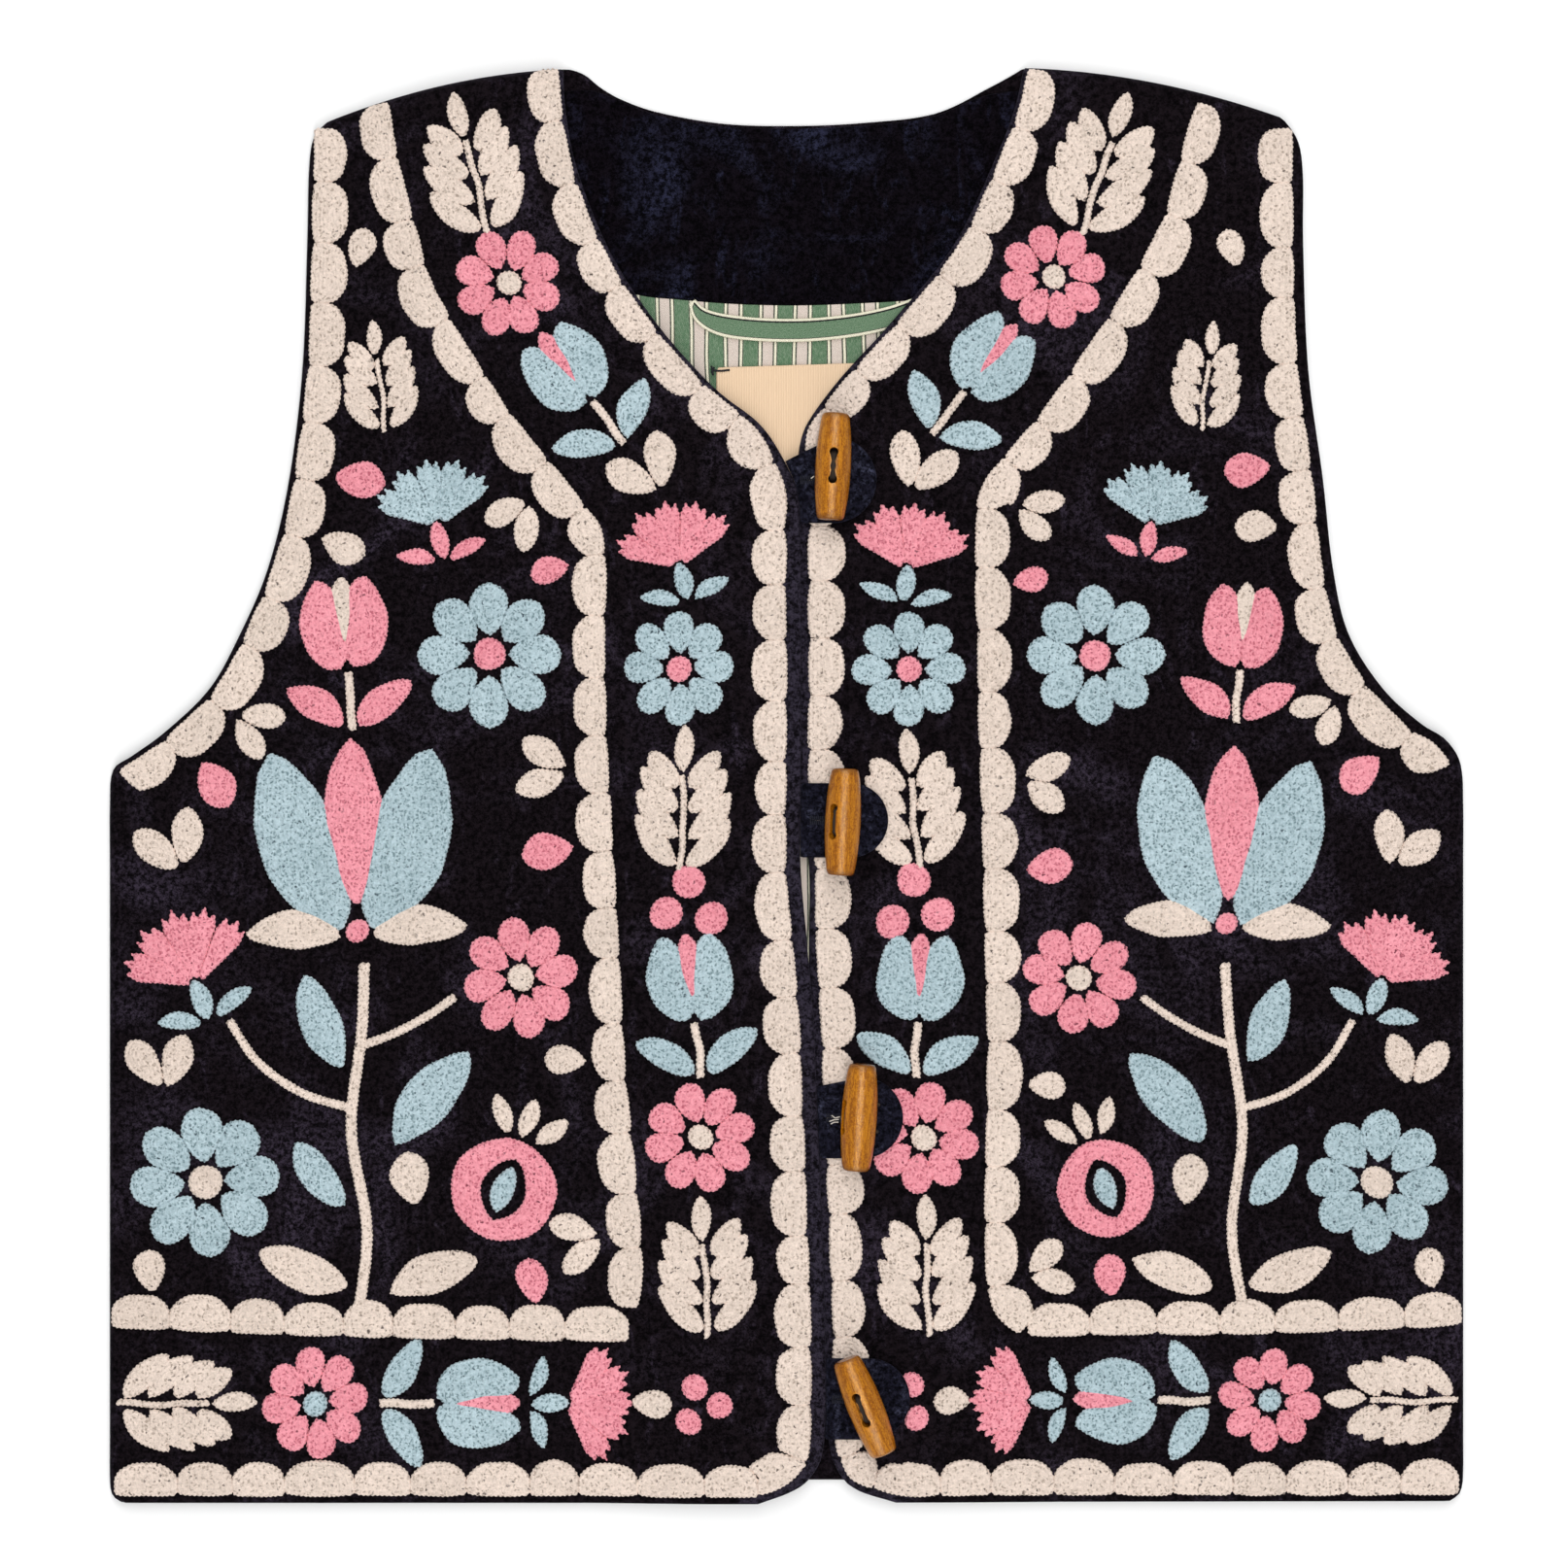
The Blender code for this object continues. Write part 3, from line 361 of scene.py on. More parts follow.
# One row for each fastening, from the neck to the hem.
Fastening = namedtuple(
    "Fastening", "tab_low tab_high tab_root_high tab_end toggle_x toggle_y toggle_length tilt roll"
)
FASTENINGS = (
    Fastening(100.3, 133.2, 124.0, 34.5, 17.7, 121.4, 40.8, 3.0, 0.0),
    Fastening(-27.7, 0.8, 0.8, 38.9, 21.4, -14.0, 40.8, 2.7, 35.0),
    Fastening(-142.8, -111.8, -115.3, 44.6, 27.6, -126.6, 40.8, 3.5, 65.0),
    Fastening(-250.5, -219.3, -219.3, 47.2, 29.9, -236.7, 39.0, -22.0, 15.0),
)
TAB_Z = FRONT_TOP + LEFT_LIFT + 2 * GAP + BORDER_THICK
TAB_ROOT_GAP = 0.08
TAB_RAMP = 3.4
SLIT_LENGTH = 17.0
SLIT_WIDTH = 0.45
TOGGLE_RADIUS = 6.85
TurnedPoint = namedtuple("TurnedPoint", "radius along")
TOGGLE_PROFILE = (
    TurnedPoint(0.0, 0.992),
    TurnedPoint(0.30, 1.0),
    TurnedPoint(0.60, 0.998),
    TurnedPoint(0.70, 0.982),
    TurnedPoint(0.765, 0.945),
    TurnedPoint(0.84, 0.80),
    TurnedPoint(0.91, 0.60),
    TurnedPoint(0.965, 0.38),
    TurnedPoint(0.99, 0.18),
    TurnedPoint(1.0, 0.0),
)
TOGGLE_STEPS = 64
HOLE_SIDES = 24
HOLE_RADIUS = 1.7
HOLE_SPREAD = 5.15
GROOVE_WIDTH = 2.5
GROOVE_DEPTH = 2.2
THREAD_RADIUS = 0.62


# Plan geometry


def catmull_rom(rows, step, length):
    """Rows of numbers on a smooth curve through the given rows, with at most `step` between them."""
    rows = np.array(rows, float)
    padded = np.vstack([2 * rows[0] - rows[1], rows, 2 * rows[-1] - rows[-2]])
    made = [rows[0]]
    for before, start, end, after in zip(padded, padded[1:], padded[2:], padded[3:]):
        count = max(1, math.ceil(length(start, end) / step))
        for share in np.arange(1, count + 1) / count:
            cubic = 3 * start - before - 3 * end + after
            square = 2 * before - 5 * start + 4 * end - after
            made.append(start + share * (end - before) / 2 + share**2 * square / 2 + share**3 * cubic / 2)
    return np.array(made)


def plan_length(start, end):
    return float(np.hypot(*(end - start)[:2]))


def widest_span(start, end):
    return float(np.hypot(*(end - start).reshape(-1, 2).T).max())


def run_shares(line):
    lengths = np.concatenate([[0.0], np.cumsum(np.hypot(*np.diff(line, axis=0).T))])
    return lengths / lengths[-1]


def line_length(line):
    return float(np.hypot(*np.diff(line, axis=0).T).sum())


def at_shares(line, values, wanted):
    """Values of a line's points at the wanted shares of its length."""
    shares = run_shares(line)
    return np.column_stack([np.interp(wanted, shares, values[:, i]) for i in (0, 1)])


def even_line(line, step):
    """Points on a smooth curve through a line, an even distance apart."""
    fine = catmull_rom(line, 1.0, plan_length)
    wanted = np.linspace(0.0, 1.0, max(2, round(line_length(fine) / step)) + 1)
    return at_shares(fine, fine, wanted)


def even_loop(loop, step):
    """A closed outline's points an even distance apart."""
    closed = np.vstack([loop, loop[:1]])
    wanted = np.linspace(0.0, 1.0, max(8, round(line_length(closed) / step)) + 1)[:-1]
    return at_shares(closed, closed, wanted)


def smooth_loop(loop, step):
    """Even points on a smooth closed curve through an outline."""
    loop = np.array(loop, float)
    wound = np.vstack([loop[-2:], loop, loop[:3]])
    fine = catmull_rom(wound, 0.5, plan_length)
    start = np.argmin(np.hypot(*(fine - loop[0]).T))
    ends = np.hypot(*(fine[start + 3 :] - loop[0]).T)
    return even_loop(fine[start : start + 3 + int(np.argmin(ends))], step)


def line_normals(line):
    """Unit vectors to the left of a line's direction, at each of its points."""
    along = np.gradient(line, axis=0)
    along /= np.hypot(along[:, 0], along[:, 1])[:, None]
    return np.column_stack([-along[:, 1], along[:, 0]])


def loop_normals(loop):
    """Unit vectors that point into an outline, whichever way round it runs."""
    along = np.roll(loop, -1, axis=0) - np.roll(loop, 1, axis=0)
    along /= np.maximum(np.hypot(along[:, 0], along[:, 1]), 1e-9)[:, None]
    side = 1.0 if loop_area(loop) > 0 else -1.0
    return np.column_stack([-along[:, 1], along[:, 0]]) * side


def loop_area(loop):
    following = np.roll(loop, -1, axis=0)
    return float((loop[:, 0] * following[:, 1] - following[:, 0] * loop[:, 1]).sum() / 2)


def distances(points, line):
    """How far each point lies from a line of straight runs."""
    starts, runs = line[:-1], np.diff(line, axis=0)
    squares = np.maximum((runs**2).sum(axis=1), 1e-12)
    gaps = []
    for block in np.array_split(points, max(1, len(points) * len(starts) // 1000000)):
        to_points = block[:, None, :] - starts[None, :, :]
        shares = np.clip((to_points * runs).sum(axis=2) / squares, 0.0, 1.0)
        away = to_points - shares[..., None] * runs
        gaps.append(np.hypot(away[..., 0], away[..., 1]).min(axis=1))
    return np.concatenate(gaps)


def closed(loop):
    return np.vstack([loop, loop[:1]])


def inside(points, loops):
    """Whether each point lies inside the outlines, holes left out."""
    crossings = np.zeros(len(points), int)
    for loop in loops:
        starts, ends = loop, np.roll(loop, -1, axis=0)
        rises = np.where(ends[:, 1] == starts[:, 1], 1e9, ends[:, 1] - starts[:, 1])
        slopes = (ends[:, 0] - starts[:, 0]) / rises
        blocks = np.array_split(np.arange(len(points)), max(1, len(points) * len(loop) // 2000000))
        for block in blocks:
            x, y = points[block, 0:1], points[block, 1:2]
            spans = (starts[:, 1] > y) != (ends[:, 1] > y)
            crossings[block] += (spans & (x < starts[:, 0] + (y - starts[:, 1]) * slopes)).sum(axis=1)
    return crossings % 2 == 1


def even_grid(low, high, step):
    """Points of a triangular grid over a box."""
    rows = np.arange(low[1], high[1] + step, step * math.sqrt(3) / 2)
    columns = np.arange(low[0] - step, high[0] + step, step)
    x, y = np.meshgrid(columns, rows)
    x = x + (np.arange(len(rows)) % 2)[:, None] * step / 2
    return np.column_stack([x.ravel(), y.ravel()])


def outline_distance(points, loops):
    return np.min([distances(points, closed(loop)) for loop in loops], axis=0)


def fill(loops, step, rings):
    """Points and triangles inside outlines: rows that follow the edge, then an even grid."""
    parts = [np.vstack(loops)]
    for ring in rings:
        for number, loop in enumerate(loops):
            inward = loop_normals(loop) * (ring if number == 0 else -ring)
            row = (loop + inward)[:: 1 if ring < step else 2]
            row = row[inside(row, loops)]
            if len(row):
                parts.append(row[outline_distance(row, loops) > 0.85 * ring])
    grid = even_grid(loops[0].min(axis=0), loops[0].max(axis=0), step)
    grid = grid[inside(grid, loops)]
    if len(grid):
        parts.append(grid[outline_distance(grid, loops) > rings[-1] + 0.55 * step])
    points = np.vstack(parts)
    ends, count = [], 0
    for loop in loops:
        ends += [(count + i, count + (i + 1) % len(loop)) for i in range(len(loop))]
        count += len(loop)
    made = delaunay_2d_cdt([Vector(point) for point in points], ends, [], 0, 1e-5)
    points = np.array([tuple(point) for point in made[0]])
    faces = np.array(made[2])
    return points, faces[inside(points[faces].mean(axis=1), loops)]


def smoothstep(share):
    share = np.clip(share, 0.0, 1.0)
    return share * share * (3.0 - 2.0 * share)


def quarter_round(distance, radius):
    """0 at an edge and 1 from the radius on, as a quarter of a circle."""
    inward = np.clip(distance / radius, 0.0, 1.0)
    return np.sqrt(1.0 - (1.0 - inward) ** 2)


def crease_height(points, creases):
    """Height of the soft ridges and troughs at each point."""
    height = np.zeros(len(points))
    for crease in creases:
        turn = math.radians(crease.turn)
        offset = points - np.array([crease.x, crease.y])
        along = offset @ np.array([math.cos(turn), math.sin(turn)])
        bow = 0.12 * crease.reach * (along / crease.reach) ** 2
        across = offset @ np.array([-math.sin(turn), math.cos(turn)]) + bow
        fade = smoothstep(1.0 - np.abs(along) / crease.reach)
        height += crease.height * fade * np.exp(-((across / crease.width) ** 2))
    return height


class Jacket:
    """Outlines and heights of the cloth, as in the CAD but finer and with soft creases."""

    def __init__(self):
        self.rows = catmull_rom(SECTIONS, SECTION_STEP, widest_span)

    def side(self, hand):
        return self.rows[:, 0:2] if hand == "right" else self.rows[:, 6:8]

    def edge(self, hand):
        return self.rows[:, 2:4] if hand == "right" else self.rows[:, 4:6]

    def underarm(self, hand):
        column = 1 if hand == "right" else 7
        return int((self.side(hand)[:, 1] <= SECTIONS[UNDERARM_ROW][column] + 0.01).sum())

    def shoulder(self, hand):
        """From the neck to the armhole, bowed up a little."""
        shares = np.linspace(0.0, 1.0, 40)
        start, end = self.edge(hand)[-1], self.side(hand)[-1]
        points = start + (end - start) * shares[:, None]
        points[:, 1] += SHOULDER_BOW * 4.0 * shares * (1.0 - shares)
        return points

    def folds(self, hand):
        return [self.side(hand)[: self.underarm(hand)], self.shoulder(hand)]

    def opening(self, hand):
        edge = self.edge(hand)
        edge = edge[edge[:, 1] >= CORNER_Y]
        return np.vstack([edge[0] + np.array([0.0, HEM_Y]), edge])

    def free_edges(self, hand):
        """A front's hem, opening and neck edge, and its armhole edge."""
        side = self.side(hand)
        return [np.vstack([side[:1], self.edge(hand)]), side[self.underarm(hand) - 1 :]]

    def front_outline(self, hand):
        return np.vstack([self.edge(hand), self.shoulder(hand)[1:-1], self.side(hand)[::-1]])

    def front_flat(self, hand, points):
        lift = RIGHT_LIFT if hand == "right" else LEFT_LIFT
        beyond = distances(points, self.opening(hand)) - LIFT_PLATEAU
        lifted = lift * smoothstep(1.0 - beyond / (LIFT_REACH - LIFT_PLATEAU))
        if hand == "left":
            right_edge = self.edge("right")
            beside = points[:, 0] - np.interp(points[:, 1], right_edge[:, 1], right_edge[:, 0])
            lifted = lifted - TUCK_DEPTH * smoothstep(1.0 - beside / TUCK_WIDTH)
        return FRONT_TOP + lifted + crease_height(points, CREASES[hand])

    def front_top(self, hand, points):
        """Height of a front's upper surface above each point."""
        near = np.min([distances(points, fold) for fold in self.folds(hand)], axis=0)
        above_seam = (self.front_flat(hand, points) - SEAM_Z) * quarter_round(near, FOLD_REACH)
        return SEAM_Z + THINNEST + above_seam

    def front_surfaces(self, hand, points):
        top = self.front_top(hand, points)
        low = np.minimum(self.front_flat(hand, points) - FRONT_THICK, top - THINNEST)
        near = np.min([distances(points, edge) for edge in self.free_edges(hand)], axis=0)
        return rounded(top, low, near)

    def back_outline(self):
        sides = {}
        for hand in HANDS:
            side = self.side(hand).copy()
            side[self.underarm(hand) : -1, 0] += INWARD[hand] * BACK_ARMHOLE_INSET
            sides[hand] = side
        start, end = sides["right"][0], sides["left"][0]
        shares = np.linspace(0.0, 1.0, 80)[1:-1]
        hem = start + (end - start) * shares[:, None]
        hem[:, 1] += BACK_HEM_RISE * 4.0 * shares * (1.0 - shares)
        neck = [self.edge("right")[-1], *BACK_NECK, self.edge("left")[-1]]
        neck = catmull_rom(neck, OUTLINE_STEP, plan_length)
        top = [self.shoulder("right")[::-1], neck[1:-1], self.shoulder("left")]
        return np.vstack([sides["right"][:-1], *top, sides["left"][:-1][::-1], hem[::-1]])

    def back_surfaces(self, points):
        folds = self.folds("right") + self.folds("left")
        near = np.min([distances(points, fold) for fold in folds], axis=0)
        low = (SEAM_Z - THINNEST) * (1.0 - quarter_round(near, FOLD_REACH))
        top = np.maximum(BACK_THICK, low + THINNEST)
        free = outline_distance(points, [self.back_outline()])
        return rounded(top, low, np.where(near < FOLD_REACH, FOLD_REACH, free))


def rounded(top, low, near):
    """Both faces of a cloth, drawn together in a round where its edge is near."""
    middle, half = (top + low) / 2, (top - low) / 2 * quarter_round(near, EDGE_ROUND)
    return middle + half, middle - half


# Meshes


def to_object(name, points, faces, material):
    mesh = bpy.data.meshes.new(name)
    corners = [tuple(map(int, face)) for face in faces]
    mesh.from_pydata([tuple(point) for point in np.asarray(points) * MM], [], corners)
    mesh.shade_smooth()
    mesh.materials.append(material)
    obj = bpy.data.objects.new(name, mesh)
    bpy.context.scene.collection.objects.link(obj)
    return obj


def cloth(name, loops, surfaces, material, step=CLOTH_STEP, rings=CLOTH_RINGS):
    """A closed piece of cloth whose two faces meet along its outlines."""
    points, faces = fill(loops, step, rings)
    on_edge = outline_distance(points, loops) < 1e-3
    top, low = surfaces(points)
    second = np.where(on_edge, np.arange(len(points)), 0)
    second[~on_edge] = len(points) + np.arange(int((~on_edge).sum()))
    verts = np.vstack([np.column_stack([points, top]), np.column_stack([points, low])[~on_edge]])
    return to_object(name, verts, np.vstack([faces, second[faces][:, ::-1]]), material)


def mark(obj, values):
    """Stores three numbers at each point of a mesh, which its material reads."""
    marks = obj.data.attributes.new("marks", "FLOAT_VECTOR", "POINT")
    marks.data.foreach_set("vector", np.asarray(values, np.float32).ravel())


def plan_of(obj):
    """A mesh's points in plan, in millimetres."""
    return np.array([vertex.co[:2] for vertex in obj.data.vertices]) / MM


def declare_cloth(obj):
    """Attaches a piece of cloth to the body of the jacket."""
    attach(obj, BODY)


class Stitching:
    """Raised patches of chain stitch on one surface, gathered by colour."""

    def __init__(self, surface):
        self.surface = surface
        self.parts = {}

    def add(self, loops, colour, chance):
        """One patch: its rows of stitches follow its outline."""
        rough = []
        for number, loop in enumerate(loops):
            even = even_loop(loop, STITCH_EDGE_STEP)
            order = np.arange(len(even))
            uneven = 0.45 + 0.55 * np.abs(np.sin(1.3 * order))
            waves = STITCH_WAVE * np.where(order % 2, 1.0, -1.0) * uneven
            rough.append(even + loop_normals(even) * waves[:, None])
        points, faces = fill(rough, STITCH_STEP, STITCH_RINGS)
        near = outline_distance(points, rough)
        crown = 0.88 + 0.12 * np.clip(near / STITCH_CROWN, 0.0, 1.0)
        lift = STITCH_HEIGHT * quarter_round(near, STITCH_ROUND) * crown
        height = self.surface(points) + np.where(near < 1e-3, STITCH_BASE, lift)
        marks = np.column_stack([near, np.full(len(points), chance), np.zeros(len(points))])
        self.parts.setdefault(colour, []).append((np.column_stack([points, height]), faces, marks))

    def pieces(self, prefix, materials):
        """One mesh for each colour."""
        made = []
        for colour, parts in self.parts.items():
            starts = np.cumsum([0] + [len(points) for points, _, _ in parts])
            faces = np.vstack([faces + start for (_, faces, _), start in zip(parts, starts)])
            points = np.vstack([points for points, _, _ in parts])
            obj = to_object(f"{prefix}_{colour}", points, faces, materials[colour])
            mark(obj, np.vstack([marks for _, _, marks in parts]))
            made.append(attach(obj, BODY))
        return made


# Scalloped borders


def edge_border_line(jacket, hand):
    """Base line of the border along neck, opening and hem, from the shoulder to the side."""
    edge = jacket.edge(hand)[::-1]
    corner = edge[-1]
    shares = np.linspace(0.0, 1.0, HEM_PARTS + 1)[1:]
    end_x = -INWARD[hand] * (HALF_WIDTH - 0.5)
    hem = corner + (np.array([end_x, corner[1]]) - corner) * shares[:, None]
    outline = even_line(np.vstack([edge, hem]), LINE_STEP)
    insets = np.interp(outline[:, 1], *zip(*MARGINS[hand]))
    line = outline - line_normals(outline) * (INWARD[hand] * insets)[:, None]
    return line[np.abs(line[:, 0]) < HALF_WIDTH - 2.0]


def armhole_border_line(jacket, hand):
    """Base line of the border along the armhole, straight on to the shoulder at its top."""
    side = jacket.side(hand)[jacket.underarm(hand) :][::-1]
    side = side[side[:, 1] < ARMHOLE_BORDER_STRAIGHT]
    line = even_line(np.vstack([[(side[0, 0], ARMHOLE_BORDER_TOP)], side]), LINE_STEP)
    return line + line_normals(line) * INWARD[hand] * ARMHOLE_INSET[hand]


def add_scallops(stitching, line, into_panel, rng):
    """Round lobes side by side along a base line, each a little different."""
    fine = even_line(line, LINE_STEP)
    sideways = line_normals(fine) * into_panel
    length = line_length(fine)
    count = max(1, round(length / LOBE_PITCH))
    joints = np.arange(count + 1) / count
    joints[1:-1] += rng.uniform(-LOBE_VARIETY, LOBE_VARIETY, count - 1) / length
    shape = np.array(LOBE_OUTLINE)
    middle = shape[:, 0] * (1.0 - shape[:, 0])
    for start, end in zip(joints, joints[1:]):
        start, end = start - LOBE_OVERLAP / length, end + LOBE_OVERLAP / length
        lean = rng.uniform(-0.45, 0.45)
        shares = start + (end - start) * (shape[:, 0] + lean * shape[:, 1] * middle * (shape[:, 0] - 0.5))
        depth = LOBE_DEPTH * rng.uniform(0.93, 1.08) * shape[:, 1] + rng.uniform(-0.25, 0.25, len(shape))
        base = at_shares(fine, fine, shares)
        away = at_shares(fine, sideways, shares)
        loop = base + away * depth[:, None]
        stitching.add([smooth_loop(loop, STITCH_EDGE_STEP)], "cream", rng.uniform())


# Motifs, drawn in shares of their size


def almond(length, width, turn=0.0, foot=(0.0, 0.0), bend=0.0, full=0.8, tip=1.0):
    """A leaf or petal from its foot, turned and bent; tip over 1 moves its widest place outwards."""
    share = np.linspace(0.0, 1.0, 15)
    half = width / 2 * np.clip(np.sin(np.pi * share**tip), 0.0, 1.0) ** full
    middle = bend * length * share**2
    left = np.column_stack([middle - half, share * length])
    right = np.column_stack([middle + half, share * length])[1:-1][::-1]
    return moved(np.vstack([left, right]), turn, foot)


def two_almonds(colour, length, width, turn, foot, bend, full, tip=1.0):
    """A petal or leaf turned to the left, and its mirror image."""
    patches = []
    for side in (1, -1):
        own_foot = (side * foot[0], foot[1])
        patches.append(([almond(length, width, side * turn, own_foot, side * bend, full, tip)], colour))
    return patches


def disc(radius, middle=(0.0, 0.0)):
    angles = np.linspace(0.0, 2 * np.pi, 24, endpoint=False)
    return np.column_stack([np.cos(angles), np.sin(angles)]) * radius + np.array(middle)


def moved(loop, turn, foot):
    """A loop turned about the origin, to the left for positive degrees, and then moved."""
    angle = math.radians(turn)
    rotation = np.array([[math.cos(angle), math.sin(angle)], [-math.sin(angle), math.cos(angle)]])
    return loop @ rotation + np.array(foot)


def strip(points, width):
    """A narrow band along a line."""
    line = even_line(np.array(points, float), 0.02 if np.ptp(points, axis=0).max() < 3 else 2.0)
    side = line_normals(line) * width / 2
    return np.vstack([line + side, (line - side)[::-1]])


def daisy(first, second):
    petals = []
    for turn in range(0, 360, 45):
        foot = moved(np.array([0.0, 0.13]), turn, (0.0, 0.0))
        petals.append(([almond(0.375, 0.276, turn, foot, full=0.48, tip=1.35)], first))
    return petals + [([disc(0.115)], second)]


def tulip(first, second):
    return [
        *two_almonds(first, 0.60, 0.35, 27, (-0.035, 0.40), 0.24, 0.6),
        ([almond(0.50, 0.20, 0, (0.0, 0.52), full=0.65)], second),
        ([strip([(0.0, 0.0), (0.012, 0.2), (0.0, 0.39)], 0.06)], "cream"),
        *two_almonds(first, 0.46, 0.22, 42, (-0.05, 0.02), -0.20, 0.65),
    ]


def lily(first, second):
    """A large open flower head of three petals between two curled ones."""
    return [
        *two_almonds(first, 0.88, 0.38, 30, (-0.06, 0.03), 0.16, 0.62),
        ([almond(0.78, 0.28, 0, (0.0, 0.14), full=0.6)], second),
        *two_almonds("cream", 0.42, 0.20, 68, (-0.07, 0.0), -0.3, 0.65),
        ([disc(0.055, (0.0, 0.03))], second),
    ]


def carnation(first, second):
    tooth = ((-0.028, 0.0), (-0.115, 0.40), (-0.09, 0.52), (-0.045, 0.47), (0.0, 0.57), (0.045, 0.47),
             (0.09, 0.52), (0.115, 0.40), (0.028, 0.0))
    petals = []
    for turn in (54, 27, 0, -27, -54):
        foot = moved(np.array([0.0, 0.05]), turn, (0.0, 0.36))
        petals.append(([moved(np.array(tooth), turn, foot)], first))
    calyx = ([almond(0.34, 0.17, 0, (0.0, 0.06), full=0.6)], second)
    return [*petals, calyx, *two_almonds(second, 0.36, 0.15, 58, (-0.06, 0.05), -0.2, 0.7)]


def pomegranate(first, second):
    crown = [([almond(0.27, 0.12, turn, (-turn / 400, 0.70), full=0.7)], "cream") for turn in (34, 0, -34)]
    body = [disc(0.33, (0.0, 0.36)), almond(0.42, 0.27, 0, (0.0, 0.15), full=0.7)]
    return [(body, first), ([almond(0.31, 0.15, 0, (0.0, 0.205), full=0.7)], second)] + crown


def fern(first, second):
    """A stem with pairs of plump leaflets and one at the end."""
    patches = [([strip([(0.0, 0.0), (0.02, 0.35), (0.0, 0.68)], 0.05)], second)]
    for foot, length in ((0.05, 0.46), (0.24, 0.45), (0.43, 0.40), (0.60, 0.33)):
        for side in (1, -1):
            at = (-side * 0.036 + 0.012, foot)
            patches.append(([almond(length, 0.184, side * 52, at, bend=side * 0.16, full=0.6)], first))
    return patches + [([almond(0.34, 0.15, 0, (0.0, 0.70), full=0.7)], first)]


def pair(first, *_):
    return two_almonds(first, 1.0, 0.56, 28, (-0.06, 0.0), 0.0, 0.58, 1.2)


def drop(first, *_):
    return [([almond(1.0, 0.72, 0, full=0.55, tip=1.3)], first)]


def leaf(first, *_):
    return [([almond(1.0, 0.43, 0, bend=0.12, full=0.68)], first)]


def berries(first, *_):
    return [([disc(0.27, place)], first) for place in ((-0.36, 0.1), (0.36, 0.0), (0.02, 0.62))]


MOTIF_SHAPES = {
    shape.__name__: shape
    for shape in (daisy, tulip, lily, carnation, pomegranate, fern, pair, drop, leaf, berries)
}


Worked = namedtuple("Worked", "kind turn size first second")


def add_motif(stitching, motif, to_plan, rng):
    """One motif, worked by hand: no two of them quite alike."""
    patches = MOTIF_SHAPES[motif.kind](motif.first, motif.second)
    everything = np.vstack([loop for loops, _ in patches for loop in loops])
    middle = (everything.max(axis=0) + everything.min(axis=0)) / 2
    stretch = rng.uniform(0.97, 1.03, 2)
    for loops, colour in patches:
        sway = rng.uniform(-0.35, 0.35, 2)
        made = []
        for loop in loops:
            local = moved((loop - middle) * motif.size * stretch, motif.turn, (0.0, 0.0)) + sway
            phase = rng.uniform(0.0, 6.3, 2)
            waves = 0.28 * np.sin(local[:, ::-1] / 3.1 + phase)
            made.append(to_plan(local + waves))
        stitching.add(made, colour, rng.uniform())


def panel_width(jacket, hand, y):
    """Where a panel starts at its side and ends at its border, at one height."""
    side, line = jacket.side(hand), np.array(PANEL_LINES[hand])[::-1]
    return np.interp(y, side[:, 1], side[:, 0]), np.interp(y, line[:, 1], line[:, 0])


def fitted(jacket, hand, point):
    """A point of the right panel at the same share of this hand's panel."""
    side, line = panel_width(jacket, "right", point[1])
    own_side, own_line = panel_width(jacket, hand, point[1])
    return np.array([own_side + (point[0] - side) * (own_line - own_side) / (line - side), point[1]])


def add_panel_motifs(stitching, jacket, hand, rng):
    flip, scale = np.array([INWARD[hand], 1.0]), MOTIF_SCALE[hand]
    for stem in PANEL_STEMS:
        line = np.array([fitted(jacket, hand, point) for point in stem.points])
        stitching.add([strip(line, stem.width * scale)], "cream", rng.uniform())
    for row in PANEL_MOTIFS:
        at = fitted(jacket, hand, (row.x, row.y))
        motif = Worked(row.kind, row.turn, row.size * scale, row.colour, row.second)
        add_motif(stitching, motif, lambda local: at + local * flip, rng)


def place_on(line, share):
    """The point at a share of a line's length, and the line's left side there."""
    fine = even_line(line, LINE_STEP)
    wanted = np.array([share])
    return at_shares(fine, fine, wanted)[0], at_shares(fine, line_normals(fine), wanted)[0]


def add_band_motifs(stitching, band, hand, rng):
    """Motifs that grow along the middle line of a band between two borders."""
    length = line_length(np.array(BAND_LINES[f"{band}_right"]))
    for row in BAND_MOTIFS[band]:
        at, side = place_on(BAND_LINES[f"{band}_{hand}"], row.along / length)
        axes = np.array([-side * INWARD[hand], (side[1], -side[0])])
        size = row.size * (MOTIF_SCALE[hand] if band == "hem" else 1.0)
        motif = Worked(row.kind, row.turn, size, row.colour, row.second)
        add_motif(stitching, motif, lambda local: at + local @ axes, rng)


def add_sprigs(stitching, line, panel_side, rows, hand, rng):
    """Small motifs that grow away from a border, into the panel."""
    for row in rows:
        at, side = place_on(line, row.share)
        away = side * panel_side
        axes = np.array([(away[1], -away[0]), away])
        motif = Worked(row.kind, row.turn, row.size * MOTIF_SCALE[hand], row.colour, row.second)
        add_motif(stitching, motif, lambda local: at + away * row.across + local @ axes, rng)


# Materials

MILLIMETRES = (1000.0, 1000.0, 1000.0)


